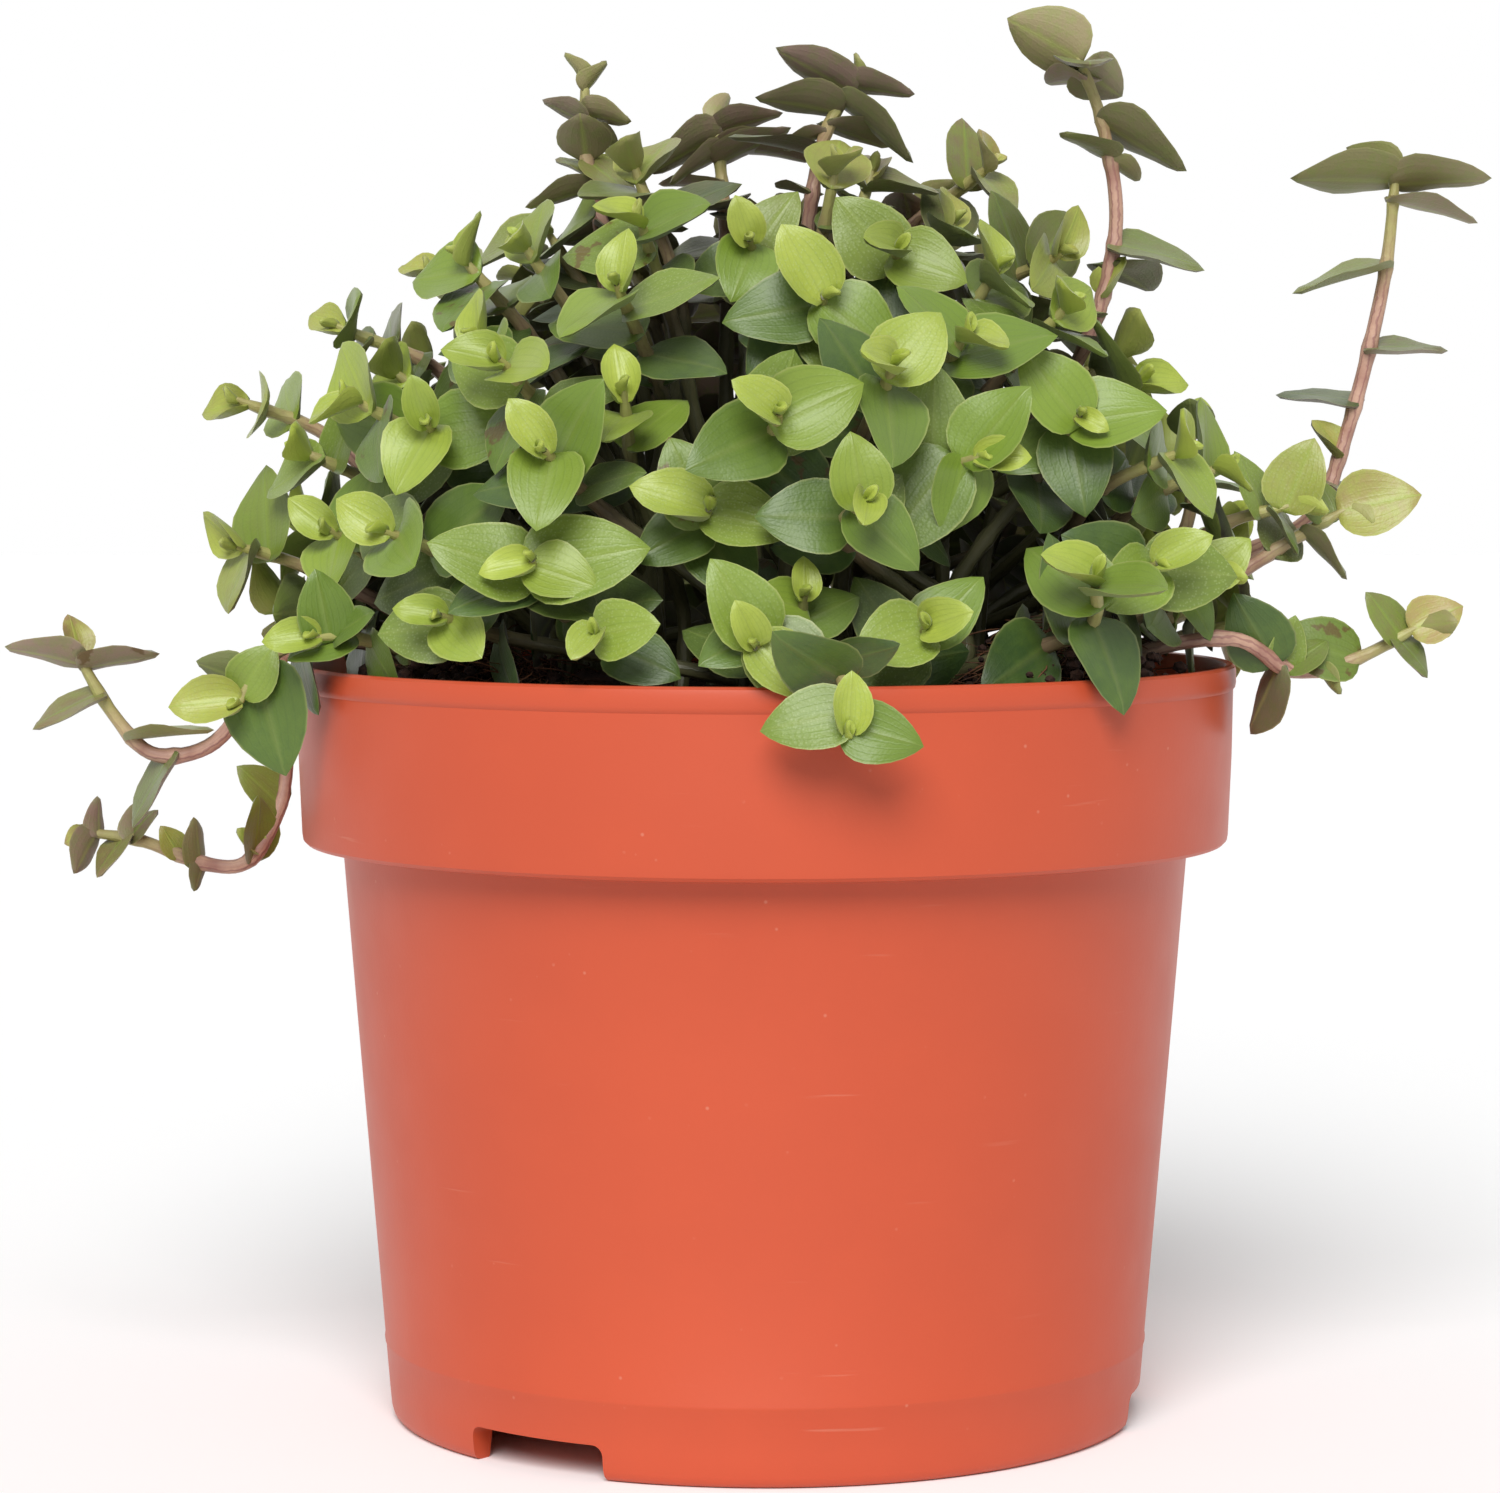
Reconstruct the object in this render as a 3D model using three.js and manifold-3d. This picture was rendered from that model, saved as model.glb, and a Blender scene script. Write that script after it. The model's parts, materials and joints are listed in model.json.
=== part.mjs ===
// A turtle vine (Callisia repens) in a 12 cm plastic nursery pot, in millimetres, +Z up.
// The origin is the middle of the pot's underside, where it stands. The front faces -Y.
//
// The plant is many rooted cuttings. Each cutting is one closed solid: its stem or stems with
// the leaves that grow on them. Stems are laid out first, then leaves are placed from the tips
// down, and a leaf that would pass through a neighbour is turned, tilted or made smaller.
import * as THREE from "three";
import { mergeVertices } from "three/addons/utils/BufferGeometryUtils.js";
import Module from "manifold-3d";

const wasm = await Module();
wasm.setup();

// ---- driving dimensions ----
const pot = {
  height: 97,
  rimRadius: 60.3, // outside, at the lip
  bandFootRadius: 59.4, // outside, at the foot of the wide band
  bandHeight: 23,
  wallTopRadius: 54.3, // outside, just under the band
  wallFootRadius: 48.5, // outside, at the foot ring
  wall: 1.3,
  footHeight: 4.5, // the raised channel's underside
  padRadius: 20, // the middle disc that stands on the table
  creaseHeight: 10, // the fine moulding line round the wall
  segments: 40,
};
const notch = { count: 3, firstDeg: -36, spanDeg: 23, height: 4.5, depth: 8 };
const drain = { count: 6, radius: 3, circle: 34 };
const soil = { edgeHeight: 92.5, middleHeight: 95.5 };
const stem = { radius: 0.95, sides: 4, sink: 2, segment: 12 };
const leafPlate = { thickness: 0.8, clearance: 1.25 };
const air = 0.3; // the gap kept between two pieces that touch

const degrees = (angle) => (angle * Math.PI) / 180;
const vec = (x, y, z) => new THREE.Vector3(x, y, z);
// A repeatable number from 0 to 1 for any two indices.
const vary = (a, b) => {
  const s = Math.sin(a * 12.9898 + b * 78.233) * 43758.5453;
  return s - Math.floor(s);
};
const soilHeight = (x, y) => {
  const share = Math.min(1, Math.hypot(x, y) / pot.wallTopRadius);
  return soil.middleHeight - (soil.middleHeight - soil.edgeHeight) * share * share;
};

// ---- shoots placed by hand: where each tip is and which way it grows ----
// A shoot with no name is one of those that make the front of the mound.
// leaf: length of its largest leaf; first and turn: the second leaf's angle round the stem, and
// the step to the next; gap: the distance between old leaves; via: points of a stem that trails.
// leaves: the ones set by hand, each as its distance from the tip, its rank (0 for a bud, 1 for the
// youngest open leaf), the way from its base to its tip, and the way that its upper side faces.
// After them, leaves grow by rule from rank start onwards.
const shoots = [
  {
    tip: [-27.5, -52, 111.5], aim: [-0.05, -0.88, 0.47], leaf: 14, first: -125, turn: -150, count: 8,
    start: 6,
    leaves: [
      [0.2, 0, [-0.8, -2.4, 1.4], [0.2, 0.5, 0.8]],
      [0.9, 1, [-6.3, -2.2, -0.8], [0.1, -0.9, 0.45]],
      [1.8, 2, [8.6, -3, -2.6], [0, -0.85, 0.5]],
      [3, 3, [15, -1, 3.3], [0, -0.82, 0.55]],
      [4.4, 3, [-13, -2, 4.4], [0.05, -0.85, 0.5]],
      [6.5, 4, [-10.5, -4, -3.4], [0, -0.6, 0.8]],
      [8, 4, [8.5, -6, -3], [0, -0.55, 0.85]],
    ],
  },
  {
    tip: [-6.8, -50, 117.4], aim: [0.05, -0.9, 0.42], leaf: 13, first: 95, turn: 150, count: 8, start: 6,
    leaves: [
      [0.2, 0, [0.4, -2.4, 2], [0.2, 0.5, 0.8]],
      [0.9, 1, [-9, -2.5, 3.6], [-0.1, -0.88, 0.45]],
      [2, 2, [11.2, -2.5, -1.4], [0.05, -0.85, 0.5]],
      [3.4, 3, [-4.5, -1, 10.5], [0, -0.88, 0.4]],
      [5.2, 4, [-9, -3, -4], [0, -0.8, 0.55]],
      [7.2, 4, [6, -4, -9], [0, -0.8, 0.5]],
    ],
  },
  {
    tip: [6.9, -38, 142.6], aim: [0.05, -0.9, 0.42], leaf: 13.5, first: 40, turn: -150, count: 8, start: 6,
    leaves: [
      [0.2, 0, [2.2, -2.2, 1], [0.2, 0.5, 0.8]],
      [0.9, 1, [-5, -2, 9.2], [0.1, -0.92, 0.3]],
      [1.8, 3, [10.4, -2, -7.6], [0.1, -0.88, 0.42]],
      [3, 3, [-13, -2, -2], [0, -0.88, 0.45]],
      [5, 4, [9.5, -3, -11], [0, -0.9, 0.4]],
      [7, 4, [-9.5, -3, -9], [0, -0.85, 0.5]],
    ],
  },
  { tip: [-2, -24, 150], aim: [-0.1, -0.88, 0.45], leaf: 10.5, first: 20, turn: 150, count: 8 },
  { tip: [16.5, -24, 149], aim: [0.2, -0.85, 0.5], leaf: 12, first: 100, turn: 150, count: 8 },
  { tip: [-17, -43, 131.5], aim: [-0.1, -0.55, 0.83], leaf: 12, first: 20, turn: 150, count: 6, gap: 8 },
  { tip: [-41, -34, 127.5], aim: [-0.25, -0.88, 0.4], leaf: 12, first: 10, turn: 150, count: 8 },
  {
    tip: [25.4, -46, 123.4], aim: [0.55, -0.75, 0.3], leaf: 14, first: -80, turn: -150, count: 8, start: 6,
    via: [[10, -30, 112], [18.8, -40, 121.5]],
    leaves: [
      [0.2, 0, [1.6, -2.2, 0.3], [0.2, 0.3, 0.9]],
      [0.8, 1, [6.6, -2, 0.5], [-0.2, -0.9, 0.35]],
      [1.8, 2, [7.6, -1, 9.6], [-0.4, -0.8, 0.35]],
      [2.8, 2, [-1.8, -2, -9.4], [0.5, -0.85, 0]],
      [4.5, 3, [-9.6, -2.5, -12], [-0.15, -0.93, 0.3]],
      [8, 3, [0.6, -1.5, 13.6], [0, -0.95, 0.28]],
      [11, 4, [-9.5, -4, -5.5], [0, -0.8, 0.5]],
    ],
  },
  {
    tip: [38, -34, 128.5], aim: [0.25, -0.85, 0.45], leaf: 13.5, first: 130, turn: 150, count: 8, start: 6,
    leaves: [
      [0.2, 0, [0.4, -2.4, 1], [0.2, 0.5, 0.8]],
      [0.7, 1, [3.6, -2.4, -1.4], [-0.1, -0.9, 0.4]],
      [1.8, 3, [-7, -1, 9.8], [0.2, -0.9, 0.35]],
      [3, 2, [11.8, -2, 2.6], [0, -0.82, 0.55]],
      [5.5, 4, [2, -4, -11], [0, -0.85, 0.45]],
      [8, 4, [-9, -4, -4], [0, -0.8, 0.5]],
    ],
  },
  {
    tip: [47.2, -38, 110.7], aim: [0.35, -0.88, 0.25], leaf: 12, first: -20, turn: 150, count: 8, start: 2,
    leaves: [
      [0.2, 0, [1.8, -2, -0.4], [0.2, 0.3, 0.9]],
      [0.9, 1, [6.8, -2.2, 3.8], [-0.3, -0.93, 0.3]],
    ],
  },
  { tip: [39, -48, 109.5], aim: [0.1, -0.7, 0.7], leaf: 13.5, first: 100, turn: 150, count: 8 },
  { tip: [18.6, -55, 104], aim: [0.1, -0.9, 0.4], leaf: 12, first: -95, turn: -150, count: 7 },
  {
    name: "front_overhang", tip: [-1.4, -61, 101.6], aim: [0.05, -0.9, 0.2], leaf: 13, first: 25,
    turn: 150, count: 7, start: 5,
    via: [[0, -46, 99], [0, -55, 103]],
    leaves: [
      [0.2, 0, [-0.5, -2.2, 1.2], [0.2, 0.5, 0.8]],
      [0.9, 1, [-2.4, -2.4, 5.4], [0, -0.9, 0.45]],
      [1.8, 2, [6.4, -2.5, -6.6], [0, -0.9, 0.4]],
      [3, 3, [-6, -2, 10], [0, -0.88, 0.4]],
      [4.5, 3, [8.4, -3.5, -9.2], [0.1, -0.93, 0.3]],
      [6.5, 4, [-8.5, -5, -3], [0, -0.7, 0.7]],
    ],
  },
  { tip: [4.5, -52, 107.5], aim: [0.1, -0.7, 0.7], leaf: 9.5, first: 0, turn: 150, count: 7 },
  {
    name: "front_drooping", tip: [9.3, -67, 91.4], aim: [0.25, -0.75, -0.35], leaf: 12, first: 0,
    turn: 150, count: 6, start: 4,
    via: [[7, -49, 98.5], [8, -58.5, 100.4], [9, -64.5, 97]],
    leaves: [
      [0.3, 0, [0.2, -1.6, 2.2], [0.3, -0.8, 0.3]],
      [0.8, 1, [0.5, -1.5, 7.4], [0.2, -0.95, 0.1]],
      [1.6, 3, [9.4, -1.5, -2.4], [0.1, -0.97, 0.1]],
      [3, 3, [-10.8, -1, -1.6], [-0.1, -0.92, 0.35]],
    ],
  },
  {
    name: "left_overhang", tip: [-54.8, -34, 101.6], aim: [-0.5, -0.8, 0.1], leaf: 12, first: 60,
    turn: 150, count: 6, start: 4,
    via: [[-44, -27, 99], [-50.5, -31, 101.4]],
    leaves: [
      [0.2, 0, [-1.4, -2.2, 0.6], [0.2, 0.3, 0.9]],
      [0.8, 1, [-7, -2, -0.2], [0.05, -0.93, 0.35]],
      [2, 3, [-1.5, -1.5, 9], [0.3, -0.93, 0.2]],
      [3.4, 3, [5, -4, 3.5], [-0.5, -0.6, 0.6]],
      [5, 4, [-8, -4, -2.4], [-0.3, -0.7, 0.6]],
    ],
  },
  {
    name: "left_drooping", tip: [-64.8, -28, 92.8], aim: [-0.3, -0.9, 0.1], leaf: 12, first: 60,
    turn: -150, count: 6, start: 5,
    via: [[-46, -19, 99], [-56.5, -23.5, 100.8], [-62.5, -26.5, 97.2]],
    leaves: [
      [0.2, 0, [-1.2, -2.4, 0.3], [0.2, 0.3, 0.9]],
      [0.8, 1, [-8.8, -2, -0.4], [0.05, -0.95, 0.3]],
      [2, 2, [4.2, -1, 6.4], [0, -0.93, 0.3]],
      [3.4, 3, [-7, 2, 3], [0.3, 0.8, 0.5]],
      [5.4, 4, [3.6, -2.5, -14], [-0.3, -0.93, -0.1]],
    ],
  },
  { tip: [-54, -22, 114.4], aim: [-0.6, -0.65, 0.45], leaf: 12, first: 40, turn: 150, count: 8 },
  { tip: [-67, -8, 112], aim: [-0.85, -0.4, 0.3], leaf: 12.5, first: 30, turn: 150, count: 8 },
  { tip: [-67.5, -3, 130.6], aim: [-0.85, -0.25, 0.4], leaf: 11.5, first: 90, turn: 150, count: 6, gap: 8 },
  { tip: [-55, 1, 140], aim: [-0.85, -0.2, 0.45], leaf: 11.5, first: 60, turn: -150, count: 8 },
  { tip: [-43, 8, 147.4], aim: [-0.75, -0.2, 0.6], leaf: 11, first: 90, turn: 150, count: 8 },
  {
    name: "upright_left", tip: [-23, 0, 171.5], aim: [-0.05, -0.1, 1], leaf: 12, first: 100, turn: 150,
    count: 7, start: 5, gap: 8,
    via: [[-15, 1, 128], [-20.2, 0, 143], [-20.6, 0, 151], [-22.8, 0, 161]],
    leaves: [
      [0.3, 0, [-0.6, -0.6, 2.6], [0.8, 0.2, 0.2]],
      [0.8, 1, [-2.2, -0.5, 4.4], [0.8, 0.3, 0.4]],
      [1.6, 1, [2.8, -1, 4], [-0.7, 0.4, 0.5]],
      [4.5, 2, [6.8, -1.5, -0.6], [-0.1, 0.55, 0.8]],
      [5.5, 3, [-5.6, 1, 3.6], [0.5, 0.45, 0.75]],
      [7, 3, [4.5, 4, -1], [-0.2, 0.5, 0.8]],
      [10, 3, [-0.6, -7, 6], [0, 0.72, 0.7]],
      [10.8, 3, [7.4, -2.5, -5.6], [0.45, -0.55, 0.7]],
      [12, 3, [-4.6, 2, 2.6], [0.3, -0.4, 0.85]],
      [14, 3, [-9.4, -1.5, -2.2], [-0.2, 0.3, 0.93]],
      [19, 4, [10.2, -3, -7.6], [0.55, -0.1, 0.8]],
      [27.5, 4, [-11, -2, 4.6], [0.35, -0.45, 0.85]],
    ],
  },
  {
    name: "upright_back", tip: [-6.3, 10, 166.5], aim: [0.1, -0.1, 1], leaf: 13, first: 80, turn: 150,
    count: 7, start: 4, gap: 6.5,
    via: [[-5, 9, 128], [-5, 10, 150]],
    leaves: [
      [0.3, 1, [1.5, 3.5, 4.4], [-0.3, 0.7, 0.6]],
      [1, 3, [9, -1.5, 3.4], [-0.3, 0.45, 0.85]],
      [1.6, 3, [-10.2, -2, -4.6], [-0.35, 0.5, 0.8]],
      [3, 3, [13.4, 1.5, -0.2], [0, 0.22, 0.97]],
      [4, 3, [-7.6, -3.5, -3.6], [-0.3, 0.35, 0.85]],
      [5, 3, [9.8, -3.5, 5], [-0.45, 0.4, 0.8]],
      [8, 4, [-9, 4, 1], [0, 0.1, 1]],
      [12, 4, [6, -7, -1], [0.1, -0.3, 0.95]],
      [16, 4, [-9, -4, -2], [0, -0.3, 0.95]],
    ],
  },
  {
    name: "upright_middle", tip: [11.6, -2, 171.5], aim: [0.6, -0.1, 0.85], leaf: 13, first: 60,
    turn: 150, count: 7, start: 4, gap: 6.5,
    via: [[3, -1, 130], [5.4, -2, 152], [7.4, -2, 163.5]],
    leaves: [
      [0.2, 0, [0.4, -0.4, 3.4], [0.8, 0.2, 0.2]],
      [1.2, 3, [8.8, -1.5, -1], [0, 0.42, 0.9]],
      [1.8, 3, [-9.8, -1, 6.2], [0.45, 0.55, 0.7]],
      [3.6, 3, [10.8, -2.5, -7.2], [0.5, 0.3, 0.8]],
      [5, 3, [-11, -2.5, 3], [0.2, 0.45, 0.85]],
      [7, 3, [8.6, 6, -2], [0, 0.2, 1]],
      [8, 3, [-6, 4, -1.5], [0, 0.1, 1]],
      [11, 3, [7, -2.5, -4.2], [0.35, 0.35, 0.85]],
      [16, 4, [-5, 5, 2], [0.2, 0.1, 1]],
    ],
  },
  { tip: [29, 4, 160.7], aim: [0.6, -0.5, 0.6], leaf: 10.5, first: 60, turn: 150, count: 8 },
  { tip: [37.5, -8, 149], aim: [0.65, -0.6, 0.45], leaf: 12, first: 0, turn: 150, count: 8 },
  {
    name: "upright_right", tip: [39.8, 0, 174.3], aim: [-0.5, -0.1, 0.85], leaf: 12, first: 70,
    turn: 150, count: 7, start: 5, gap: 11,
    via: [[30, 4, 118], [40.8, 0, 137], [44.8, 0, 152], [43.2, 0, 165]],
    leaves: [
      [0.3, 2, [-9.2, 2, 6], [0.2, 0.85, 0.45]],
      [1.2, 3, [0.6, -10.5, -0.6], [0, 0.1, 1]],
      [2, 3, [5.8, 6, -3], [-0.3, 0.75, 0.55]],
      [3.2, 3, [-5, 7, 1], [0, 0.4, 0.9]],
      [8.8, 3, [11.8, -1.5, -6.8], [0.4, 0.42, 0.8]],
      [13.5, 3, [-7, -4.5, 3.8], [0.45, 0.3, 0.85]],
      [14.2, 2, [4.6, 3.5, -1.8], [0.2, 0.2, 0.95]],
      [25, 3, [12.6, -1.5, -2.4], [0, -0.35, 0.93]],
      [31.5, 1, [2.4, -1.5, 5.4], [-0.6, -0.5, 0.4]],
      [34, 3, [-5.5, -4, 1.2], [0, -0.3, 0.95]],
    ],
  },
  {
    name: "upright_far_right", tip: [80.6, 0, 159.5], aim: [0.05, -0.05, 1], leaf: 12, first: 95,
    turn: 165, count: 7, start: 5, gap: 12,
    via: [[49, 6, 104], [60, 3, 110], [70, 0, 115.5], [74.5, 0, 126], [79, 0, 144.8]],
    leaves: [
      [0.3, 2, [-6.2, 2.5, 4.4], [0.3, 0.6, 0.7]],
      [1, 3, [-14.6, -1, 1.2], [0, 0.47, 0.88]],
      [1.3, 3, [13.1, -1, 1.2], [0, 0.42, 0.9]],
      [3.6, 3, [12.2, 2, -1.6], [0, 0.05, 1]],
      [12, 3, [-13.2, -1, -3.2], [-0.2, -0.1, 0.97]],
      [23, 3, [10.8, -1, 1], [0, -0.22, 0.97]],
      [37, 1, [-3.6, -1, 5], [0.5, -0.6, 0.4]],
    ],
  },
  {
    name: "upright_short", tip: [54.9, 1, 127], aim: [0.05, -0.2, 1], leaf: 12, first: 130, turn: 150,
    count: 5, start: 3, gap: 8,
    via: [[42, 2, 103], [53.5, 0, 113]],
    leaves: [
      [0.3, 2, [1.5, 3, 4.8], [-0.1, -0.7, 0.6]],
      [1, 3, [-1, -6.4, 5.6], [0, 0.7, 0.72]],
      [7, 3, [8.5, 2, -1], [0, -0.15, 1]],
    ],
  },
  {
    name: "right_leaning", tip: [73.8, -9, 116.8], aim: [0.9, -0.3, 0.2], leaf: 12, first: -90,
    turn: 150, count: 6, start: 4, gap: 6.5,
    via: [[44, -7, 101], [58, -8, 107.5], [67, -9, 113]],
    leaves: [
      [0.2, 1, [3.6, -2, -2], [0.2, 0.9, 0.3]],
      [0.8, 2, [10.4, -2, 2.4], [0.1, -0.93, 0.33]],
      [3.2, 3, [-2, 2, 6.5], [0.3, -0.9, 0]],
      [6.5, 3, [6.5, -3, -5.4], [0.4, 0.3, 0.8]],
    ],
  },
  {
    name: "right_rising", tip: [66.5, -12, 117.3], aim: [0.9, -0.4, 0.1], leaf: 12, first: 0, turn: 150,
    count: 6, start: 4, gap: 6,
    via: [[44, -4, 104], [57, -9, 114.2]],
    leaves: [
      [0.2, 1, [4.6, -3, -0.6], [0.1, 0.85, 0.5]],
      [1, 2, [3.6, -1, 9.4], [-0.25, -0.93, 0.1]],
      [3, 3, [4.4, -2, -5.6], [0.75, -0.2, 0.6]],
      [4.6, 3, [-3, -2, 8.6], [0.75, -0.6, 0.25]],
      [9, 3, [-6, 4, 3], [0.4, 0, 0.9]],
    ],
  },
  {
    name: "right_low", tip: [55.6, -22, 108.7], aim: [0.7, -0.6, 0.2], leaf: 12, first: 20, turn: 150,
    count: 6, start: 4,
    via: [[40, -17, 99], [49, -20, 105]],
    leaves: [
      [0.2, 1, [4.4, -2.5, 0], [0, 0.9, 0.4]],
      [1, 2, [5.6, -1, 5.6], [-0.3, -0.92, 0.2]],
      [2.6, 3, [-3, -2, 7.5], [0.6, -0.7, 0.3]],
      [4.4, 3, [3.5, -3, -6.5], [0.6, -0.7, 0.4]],
    ],
  },
  {
    name: "trailing_right", tip: [82.5, -12, 102], aim: [0.6, -0.2, 0.6], leaf: 12, first: 60, turn: 150,
    count: 6, start: 5, gap: 8,
    via: [[46, -20, 98.5], [58, -20, 100.8], [66, -15.5, 96.6], [74, -13, 97.8]],
    leaves: [
      [0.2, 1, [5, -2.6, 0.8], [-0.1, 0.93, -0.1]],
      [0.8, 2, [6.6, -0.5, 3.4], [-0.3, -0.93, 0.2]],
      [3, 3, [-4.6, -1, 6.4], [0.55, -0.75, 0.3]],
      [3.6, 3, [4.8, -2, -4.6], [0.6, -0.55, 0.55]],
      [9.5, 4, [-11, -2, 3.8], [-0.05, -0.87, 0.5]],
      [14, 2, [2.8, -1.5, -3.4], [0.5, 0.4, 0.6]],
      [19, 3, [6, 2, 4], [0, -0.6, 0.7]],
      [20, 3, [2, -1, 7], [0.4, -0.9, 0]],
      [21.5, 4, [-5.5, -2, 9], [-0.3, -0.92, 0.25]],
    ],
  },
  {
    name: "trailing_left", tip: [-86.5, -14, 98.6], aim: [-0.55, -0.1, 0.85], leaf: 12, first: 80,
    turn: 150, count: 5, start: 5, gap: 9,
    via: [[-47, -11, 98.5], [-58, -12, 100.8], [-64.5, -13.5, 93], [-70, -14, 87], [-77, -14, 86],
      [-82, -14, 91]],
    leaves: [
      [0.3, 1, [-1, 0.5, 5.6], [0.5, -0.6, 0]],
      [1.2, 3, [-10, -1, 3.2], [0.2, 0.5, 0.84]],
      [1.8, 3, [10.4, -1, 2.4], [-0.15, 0.35, 0.93]],
      [6, 3, [-9.2, -2.5, -4], [-0.3, -0.35, 0.9]],
      [12.5, 3, [11.4, -1, 1.6], [-0.1, 0.05, 1]],
      [18.5, 3, [-5.6, -2.5, -9.4], [-0.8, -0.4, 0.45]],
    ],
  },
  {
    name: "trailing_left_low", tip: [-89.5, 13, 73.8], aim: [-1, -0.1, 0.1], leaf: 11, first: 0,
    turn: 160, count: 5, start: 5, gap: 7.5,
    via: [[-44, 24, 98.5], [-55, 25, 100.8], [-62.5, 23, 92], [-64, 18, 78], [-68, 14.5, 70],
      [-74, 14, 69.5], [-82, 13, 72.6]],
    leaves: [
      [0.3, 1, [-3.4, 0, -1.6], [0.3, -0.8, 0.5]],
      [1.2, 3, [-3.4, -3, -5.4], [-0.8, 0.55, 0.1]],
      [1.6, 3, [-0.6, 1, 5.4], [-0.85, 0.5, 0]],
      [5.5, 3, [-4.2, -4, -5], [-0.6, -0.5, 0.6]],
      [6.2, 3, [3.4, -1, 4.6], [-0.6, -0.6, 0.5]],
      [7, 2, [-1.6, 2.5, 4.8], [-0.8, 0.55, 0]],
      [12.5, 2, [-2.2, -1, 4.4], [0.55, -0.75, 0.3]],
      [15.5, 3, [-1, -1.5, 6.8], [-0.85, 0.5, 0]],
      [15.9, 3, [-1.4, -2, -4], [-0.85, 0.5, 0]],
      [23, 2, [1.6, -2, 9], [0.8, -0.5, 0]],
      [24, 1, [-2.4, -1.5, 3.5], [0.5, -0.7, 0.5]],
      [31, 3, [-5.6, -2, 6.2], [0.45, -0.7, 0.5]],
    ],
  },
  {
    name: "front_low", tip: [-20, -56, 103.5], aim: [0, -0.85, 0.3], leaf: 10.5, first: 150, turn: 150,
    count: 5,
    via: [[-17, -43, 98], [-18.5, -50, 101.5]],
  },
];

// The mound between and behind them is filled by a spiral of shoots over a dome.
const dome = { middle: 97, radiusX: 64, radiusY: 62, radiusZ: 64, candidates: 400, spacing: 12.5 };
const goldenAngle = degrees(137.508);
const clumpSectors = 8;

function fillMound() {
  const tips = shoots.map((s) => vec(...s.tip));
  for (let i = 0; i < dome.candidates; i++) {
    const rise = 0.08 + (0.9 * (i + 0.5)) / dome.candidates; // the share of the dome's height
    const spread = Math.sqrt(1 - rise * rise);
    const bearing = i * goldenAngle;
    const puff = 0.94 + 0.1 * vary(i, 3);
    const tip = vec(
      dome.radiusX * spread * Math.cos(bearing) * puff,
      dome.radiusY * spread * Math.sin(bearing) * puff,
      dome.middle + dome.radiusZ * rise * puff,
    );
    if (tips.some((t) => t.distanceTo(tip) < dome.spacing)) continue;
    tips.push(tip);
    const aim = vec(tip.x / dome.radiusX, tip.y / dome.radiusY, 0.15 + rise * 0.75).normalize();
    const sector = Math.floor((((bearing / (2 * Math.PI)) % 1) + 1) % 1 * clumpSectors);
    const ring = rise > 0.55 ? 0 : 1;
    const toward = ((sector + 0.5) / clumpSectors) * 2 * Math.PI + ring * 0.3;
    const reach = ring ? 37 : 17;
    shoots.push({
      name: (ring ? "outer_clump_" : "inner_clump_") + (sector + 1),
      root: [reach * Math.cos(toward), reach * Math.sin(toward)],
      tip: tip.toArray(),
      aim: aim.toArray(),
      leaf: 10.8 + 3 * vary(i, 7),
      first: 360 * vary(i, 11),
      turn: i % 2 ? 150 : -150,
      count: 7,
    });
  }
}

// ---- stems ----
// A stem's route: up out of the soil, then to its tip along the way that it grows at the end.
function routeOf(shoot) {
  const tip = vec(...shoot.tip);
  const aim = vec(...shoot.aim).normalize();
  const inward = Math.min(0.62, 44 / Math.hypot(tip.x, tip.y));
  const below = shoot.via ? vec(...shoot.via[0]).multiplyScalar(0.9) : tip.clone().multiplyScalar(inward);
  const [x, y] = shoot.root || below.toArray();
  const root = vec(x, y, soilHeight(x, y) - stem.sink);
  if (shoot.via) return [root, ...shoot.via.map((p) => vec(...p)), tip];
  const reach = 0.33 * root.distanceTo(tip);
  const before = tip.clone().addScaledVector(aim, -reach);
  const lift = vec(root.x * 0.97, root.y * 0.97, root.z + 0.45 * (before.z - root.z));
  return [root, lift, before, tip];
}

// Points at equal steps of the curve's own parameter, with the distance back from the tip.
function walk(points) {
  const curve = new THREE.CatmullRomCurve3(points, false, "catmullrom", 0.5);
  const steps = 12 * (points.length - 1);
  const line = curve.getPoints(steps);
  const fromTip = new Array(steps + 1).fill(0);
  for (let i = steps - 1; i >= 0; i--) {
    fromTip[i] = fromTip[i + 1] + line[i].distanceTo(line[i + 1]);
  }
  return { curve, line, fromTip, length: fromTip[0] };
}

function placeOn(path, distance) {
  let i = path.line.length - 2;
  while (i > 0 && path.fromTip[i] < distance) i--;
  const [a, b] = [path.line[i], path.line[i + 1]];
  const share = (path.fromTip[i] - distance) / (path.fromTip[i] - path.fromTip[i + 1]);
  return { at: a.clone().lerp(b, share), toward: b.clone().sub(a).normalize() };
}

// ---- leaves ----
// Half the width of a leaf at v, from 0 at its base to 1 at its pointed tip.
const halfWidth = (v) => 1.157 * Math.pow(v, 0.45) * Math.pow(1 - v, 0.85);
const outlineStops = [0.12, 0.37, 0.68];
const ribStops = [0.25, 0.5, 0.75];
const sizeByRank = [0.26, 0.6, 0.86, 1, 1, 0.98, 0.95, 0.92, 0.88];
const widthByRank = [0.9, 0.92, 0.9, 0.8, 0.8, 0.8, 0.8, 0.8, 0.8];
const pitchByRank = [14, 46, 68, 80, 86, 92, 96, 98, 100];
const cupByRank = [1.3, 0.62, 0.3, 0.17, 0.12, 0.1, 0.08, 0.08, 0.08];
// A leaf's distance from the tip, as a share of the gap between old leaves.
const stepByRank = [0.04, 0.22, 0.52, 1.0, 1.7, 2.5, 3.4, 4.3, 5.3];

function bend(leaf, u, v) {
  return (leaf.cup * v * v) / (leaf.width / 2) - (leaf.droop * u * u) / leaf.length;
}

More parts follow.
